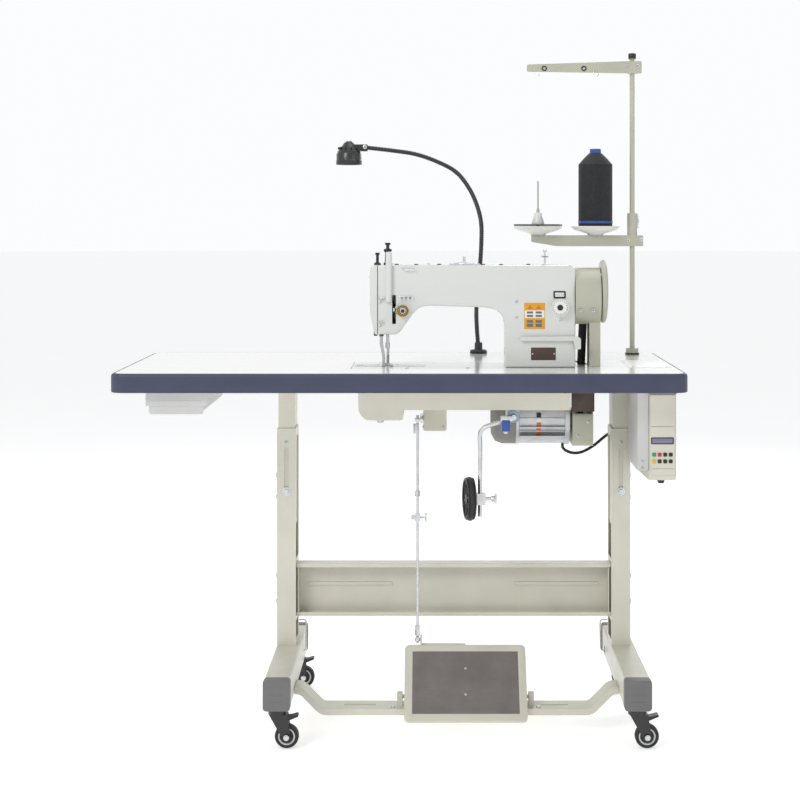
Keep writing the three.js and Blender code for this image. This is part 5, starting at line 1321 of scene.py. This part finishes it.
def guide_arm_details():
    """Thread eyes, wire hooks and the clamp's screws on the upper arm."""
    arm = Box("thread_guide_arm")
    eyes, wires = Shape(), Shape()
    for offset in (0.041, 0.1345):
        eyes.lathe((arm.x0 + offset, arm.y0, arm.z0 + 0.0115), "-y",
                   mm((3.4, -0.5), (5.8, -0.5), (6.2, 0.8), (5.6, 2), (4, 2.2), (3.4, 1.2)), 32,
                   closed=True)
        eyes.lathe((arm.x0 + offset, arm.y0, arm.z0 + 0.0115), "-y",
                   mm((0, 0.2), (3.6, 0.2), (3.6, 0.4), (0, 0.4)), 24, 1)
    eyes.piece("thread_eyes", "guide_arm", ["black_plastic", "light_plastic"])
    for offset in (0.018, 0.157):
        x, z = arm.x0 + offset, arm.z0 + 0.004
        wires.tube([(x, arm.y0 + 0.001, z + 0.006), (x, arm.y0 - 0.003, z),
                    (x + 0.002, arm.y0 - 0.004, z - 0.008),
                    (x + 0.008, arm.y0 - 0.006, z - 0.011), (x + 0.012, arm.y0 - 0.003, z - 0.006)],
                   0.0009, 8,
                   steps=5)
    wires.screw((arm.x1 - 0.007, arm.y0, arm.z1 - 0.01), "-y", 0.0044, 0.0024, "slot")
    wires.screw((arm.x1 - 0.033, arm.y0, arm.z1 - 0.012), "-y", 0.0036, 0.002)
    wires.piece("guide_wires", "guide_arm", STEEL_AND_RECESS_SHADE)


def spool_arm_details():
    """Clamp screws, the coupling's pin and spring, and the pale dishes under the spools."""
    arm, pole = Box("spool_arm"), Box("stand_pole")
    shape = Shape()
    top = arm.z0 + 0.026
    shape.screw((pole.x + 0.015, arm.y0, top - 0.01), "-y", 0.0044, 0.0024, "slot")
    shape.screw((pole.x - 0.015, arm.y0, top - 0.012), "-y", 0.0036, 0.002)
    wing = Vector((pole.x + 0.009, pole.y, top + 0.034))
    shape.tube([wing, wing + Vector((0.007, 0, 0))], 0.0026, 12)
    shape.coil(wing + Vector((0.0035, 0, -0.017)), "z", 0.0036, 0.001, 0.034, 7)
    shape.piece("spool_arm_screws", "spool_arm", STEEL_AND_RECESS_SHADE)
    dishes = Shape()
    for node in ("thread_cone", "spool_disc"):
        dishes.lathe((Box(node).x, pole.y, top - 0.0002), "z",
                     mm((0, 0), (16, 0), (20.5, 4.2), (40, 9.8), (52.2, 14), (58.4, 20.2),
                        (57.2, 22), (50.8, 18), (38, 14.2), (20, 11.8), (6, 10.6), (0, 10.6)), 72)
    dishes.piece("spool_dishes", "spool_arm", ["white_plastic"])


def thread_cone_wound():
    """The wound thread, with a blue ring near its foot and the core's blue end above."""
    cone = Box("thread_cone")
    x, y, z, high = cone.x, cone.y, cone.z0, cone.z1 - cone.z0
    r = (cone.x1 - cone.x0) / 2 - 0.001
    bore = 0.0048
    shape = Shape()
    body = [(0.015, 0.0005), (r - 0.002, 0.0058), (r, 0.009)]
    body += [(r + 0.00025 * (k % 2), 0.009 + 0.148 * k / 60) for k in range(1, 60)]
    body += [(r, 0.157), (r - 0.003, 0.1605), (0.026, 0.173), (0.015, 0.1835),
             (bore + 0.006, 0.185)]
    shape.lathe((x, y, z), "z", body + [(bore, 0.185), (bore, 0.0005)], 96, closed=True)
    shape.lathe((x, y, z), "z", [(r - 0.002, 0.0176), (r + 0.0009, 0.0178), (r + 0.0009, 0.0236),
                                 (r - 0.002, 0.0238)],
                96, 1, closed=True)
    shape.lathe((x, y, z), "z", [(bore, high - 0.0128), (0.0128, high - 0.0128),
                                 (0.0134, high - 0.0118),
                                 (0.0132, high - 0.001), (0.0122, high), (bore, high)], 48, 1,
                closed=True)
    shape.piece("wound_cone", "thread_cone", ["black_thread", "blue_plastic"],
                replaces=("thread_cone",))


def empty_spool():
    """The thin black disc with its pale hub on the left spool pin."""
    disc = Box("spool_disc")
    x, y, z, high = disc.x, disc.y, disc.z0, disc.z1 - disc.z0
    radius, bore = (disc.x1 - disc.x0) / 2, 0.0046
    shape = Shape()
    shape.lathe((x, y, z), "z", [(bore, 0.0002), (radius - 0.002, 0.0002), (radius, 0.0014),
                                 (radius, 0.0026),
                                 (radius - 0.0016, 0.0038), (0.015, 0.003), (bore, 0.003)], 96,
                closed=True)
    shape.lathe((x, y, z), "z", [(bore, 0.003), (0.0146, 0.003), (0.015, 0.004), (0.0145, 0.009),
                                 (0.0108, 0.02), (0.0088, high - 0.0014), (0.0078, high),
                                 (bore, high)],
                48, 1, closed=True)
    shape.piece("spool_disc_and_hub", "spool_arm", ["black_plastic", "white_plastic"],
                replaces=("spool_disc",))


# ---------------------------------------------------------------- work lamp
LAMP_NECK = (  # from the lamp's foot on the table: sideways, up (millimetres)
    (0, 9), (-4, 62), (-5, 105), (-1, 158), (4, 213), (7, 270), (6, 314), (-5, 357), (-25, 398),
    (-54, 433), (-98, 457), (-150, 475), (-208, 484), (-270, 491))
NECK_RADIUS = 0.0052
NECK_RIB = 0.07  # of the radius
LAMP_HEAD_RADIUS = 0.03


def lamp_neck():
    """The ribbed flexible neck on its foot."""
    foot, top = at("lamp_swivel"), Box("table_top").z1
    stem = Box("lamp_stem")
    x0, y = foot.x, stem.y
    path = smooth_path([(x0 + x, y, top + z) for x, z in mm(*LAMP_NECK)], 28)
    ribs = Shape()
    ribs.tube(path, NECK_RADIUS, 14,
              taper=lambda t: 1 + NECK_RIB * math.cos(2 * math.pi * t * (len(path) - 1) / 3))
    ribs.piece("lamp_neck_ribbed", "lamp_stem", ["black_metal"], "black_plastic")
    base = Shape()
    base.lathe((x0, y, top), "z",
               mm((0, 0.4), (20, 0.4), (20.6, 1.4), (20.4, 5.8), (18, 8.8), (10, 9.6), (9.4, 11),
                  (9.2, 24), (7.8, 26.2), (0, 26.6)), 56)
    base.piece("lamp_foot", "lamp_stem", ["black_plastic"])


def lamp_head():
    """Lens, rim, cooling ribs and the hinge screws of the lamp's head."""
    head, hinge = Box("lamp_head"), at("lamp_head_tilt")
    radius = LAMP_HEAD_RADIUS
    x, y = head.x0 + radius, head.y
    shape = Shape()
    shape.lathe((x, y, head.z0), "z", [(0, 0.004), (radius - 0.0052, 0.0036),
                                       (radius - 0.0046, 0.0044),
                                       (radius - 0.0046, 0.0062), (0, 0.0066)], 64, 1)
    shape.lathe((x, y, head.z0), "z", [(radius - 0.0042, -0.0004), (radius + 0.0002, -0.0004),
                                       (radius + 0.0008, 0.0006),
                                       (radius + 0.0008, 0.01), (radius - 0.0002, 0.011),
                                       (radius - 0.0042, 0.011)],
                72, closed=True)
    for k in range(10):
        angle = 2 * math.pi * k / 10
        place = Vector((x + math.cos(angle) * 0.0216, y + math.sin(angle) * 0.0216,
                        head.z1 - 0.015))
        shape.block(place - Vector((0.005, 0.0008, 0.003)), place + Vector((0.005, 0.0008, 0.003)),
                    0.0004, 0,
                    turn=Matrix.Rotation(angle, 3, "Z"))
    shape.lathe((x, y, head.z1 - 0.0012), "z", mm((0, 0), (8, 0), (7.6, 2.4), (5, 3.4), (0, 3.6)),
                36)
    for sign, axis in ((-1, "-y"), (1, "y")):
        # the cross drives are black bars: painted shade of the recesses
        shape.screw((hinge.x, head.y + sign * (head.y1 - head.y), hinge.z), axis, 0.005, 0.0022,
                    "cross", 2, 0)
    shape.piece("lamp_lens_and_rim", "lamp_head", ["black_metal", "lamp_lens", "zinc_steel"],
                "black_plastic")


stand_pole_details()
guide_arm_details()
spool_arm_details()
thread_cone_wound()
empty_spool()
lamp_neck()
lamp_head()
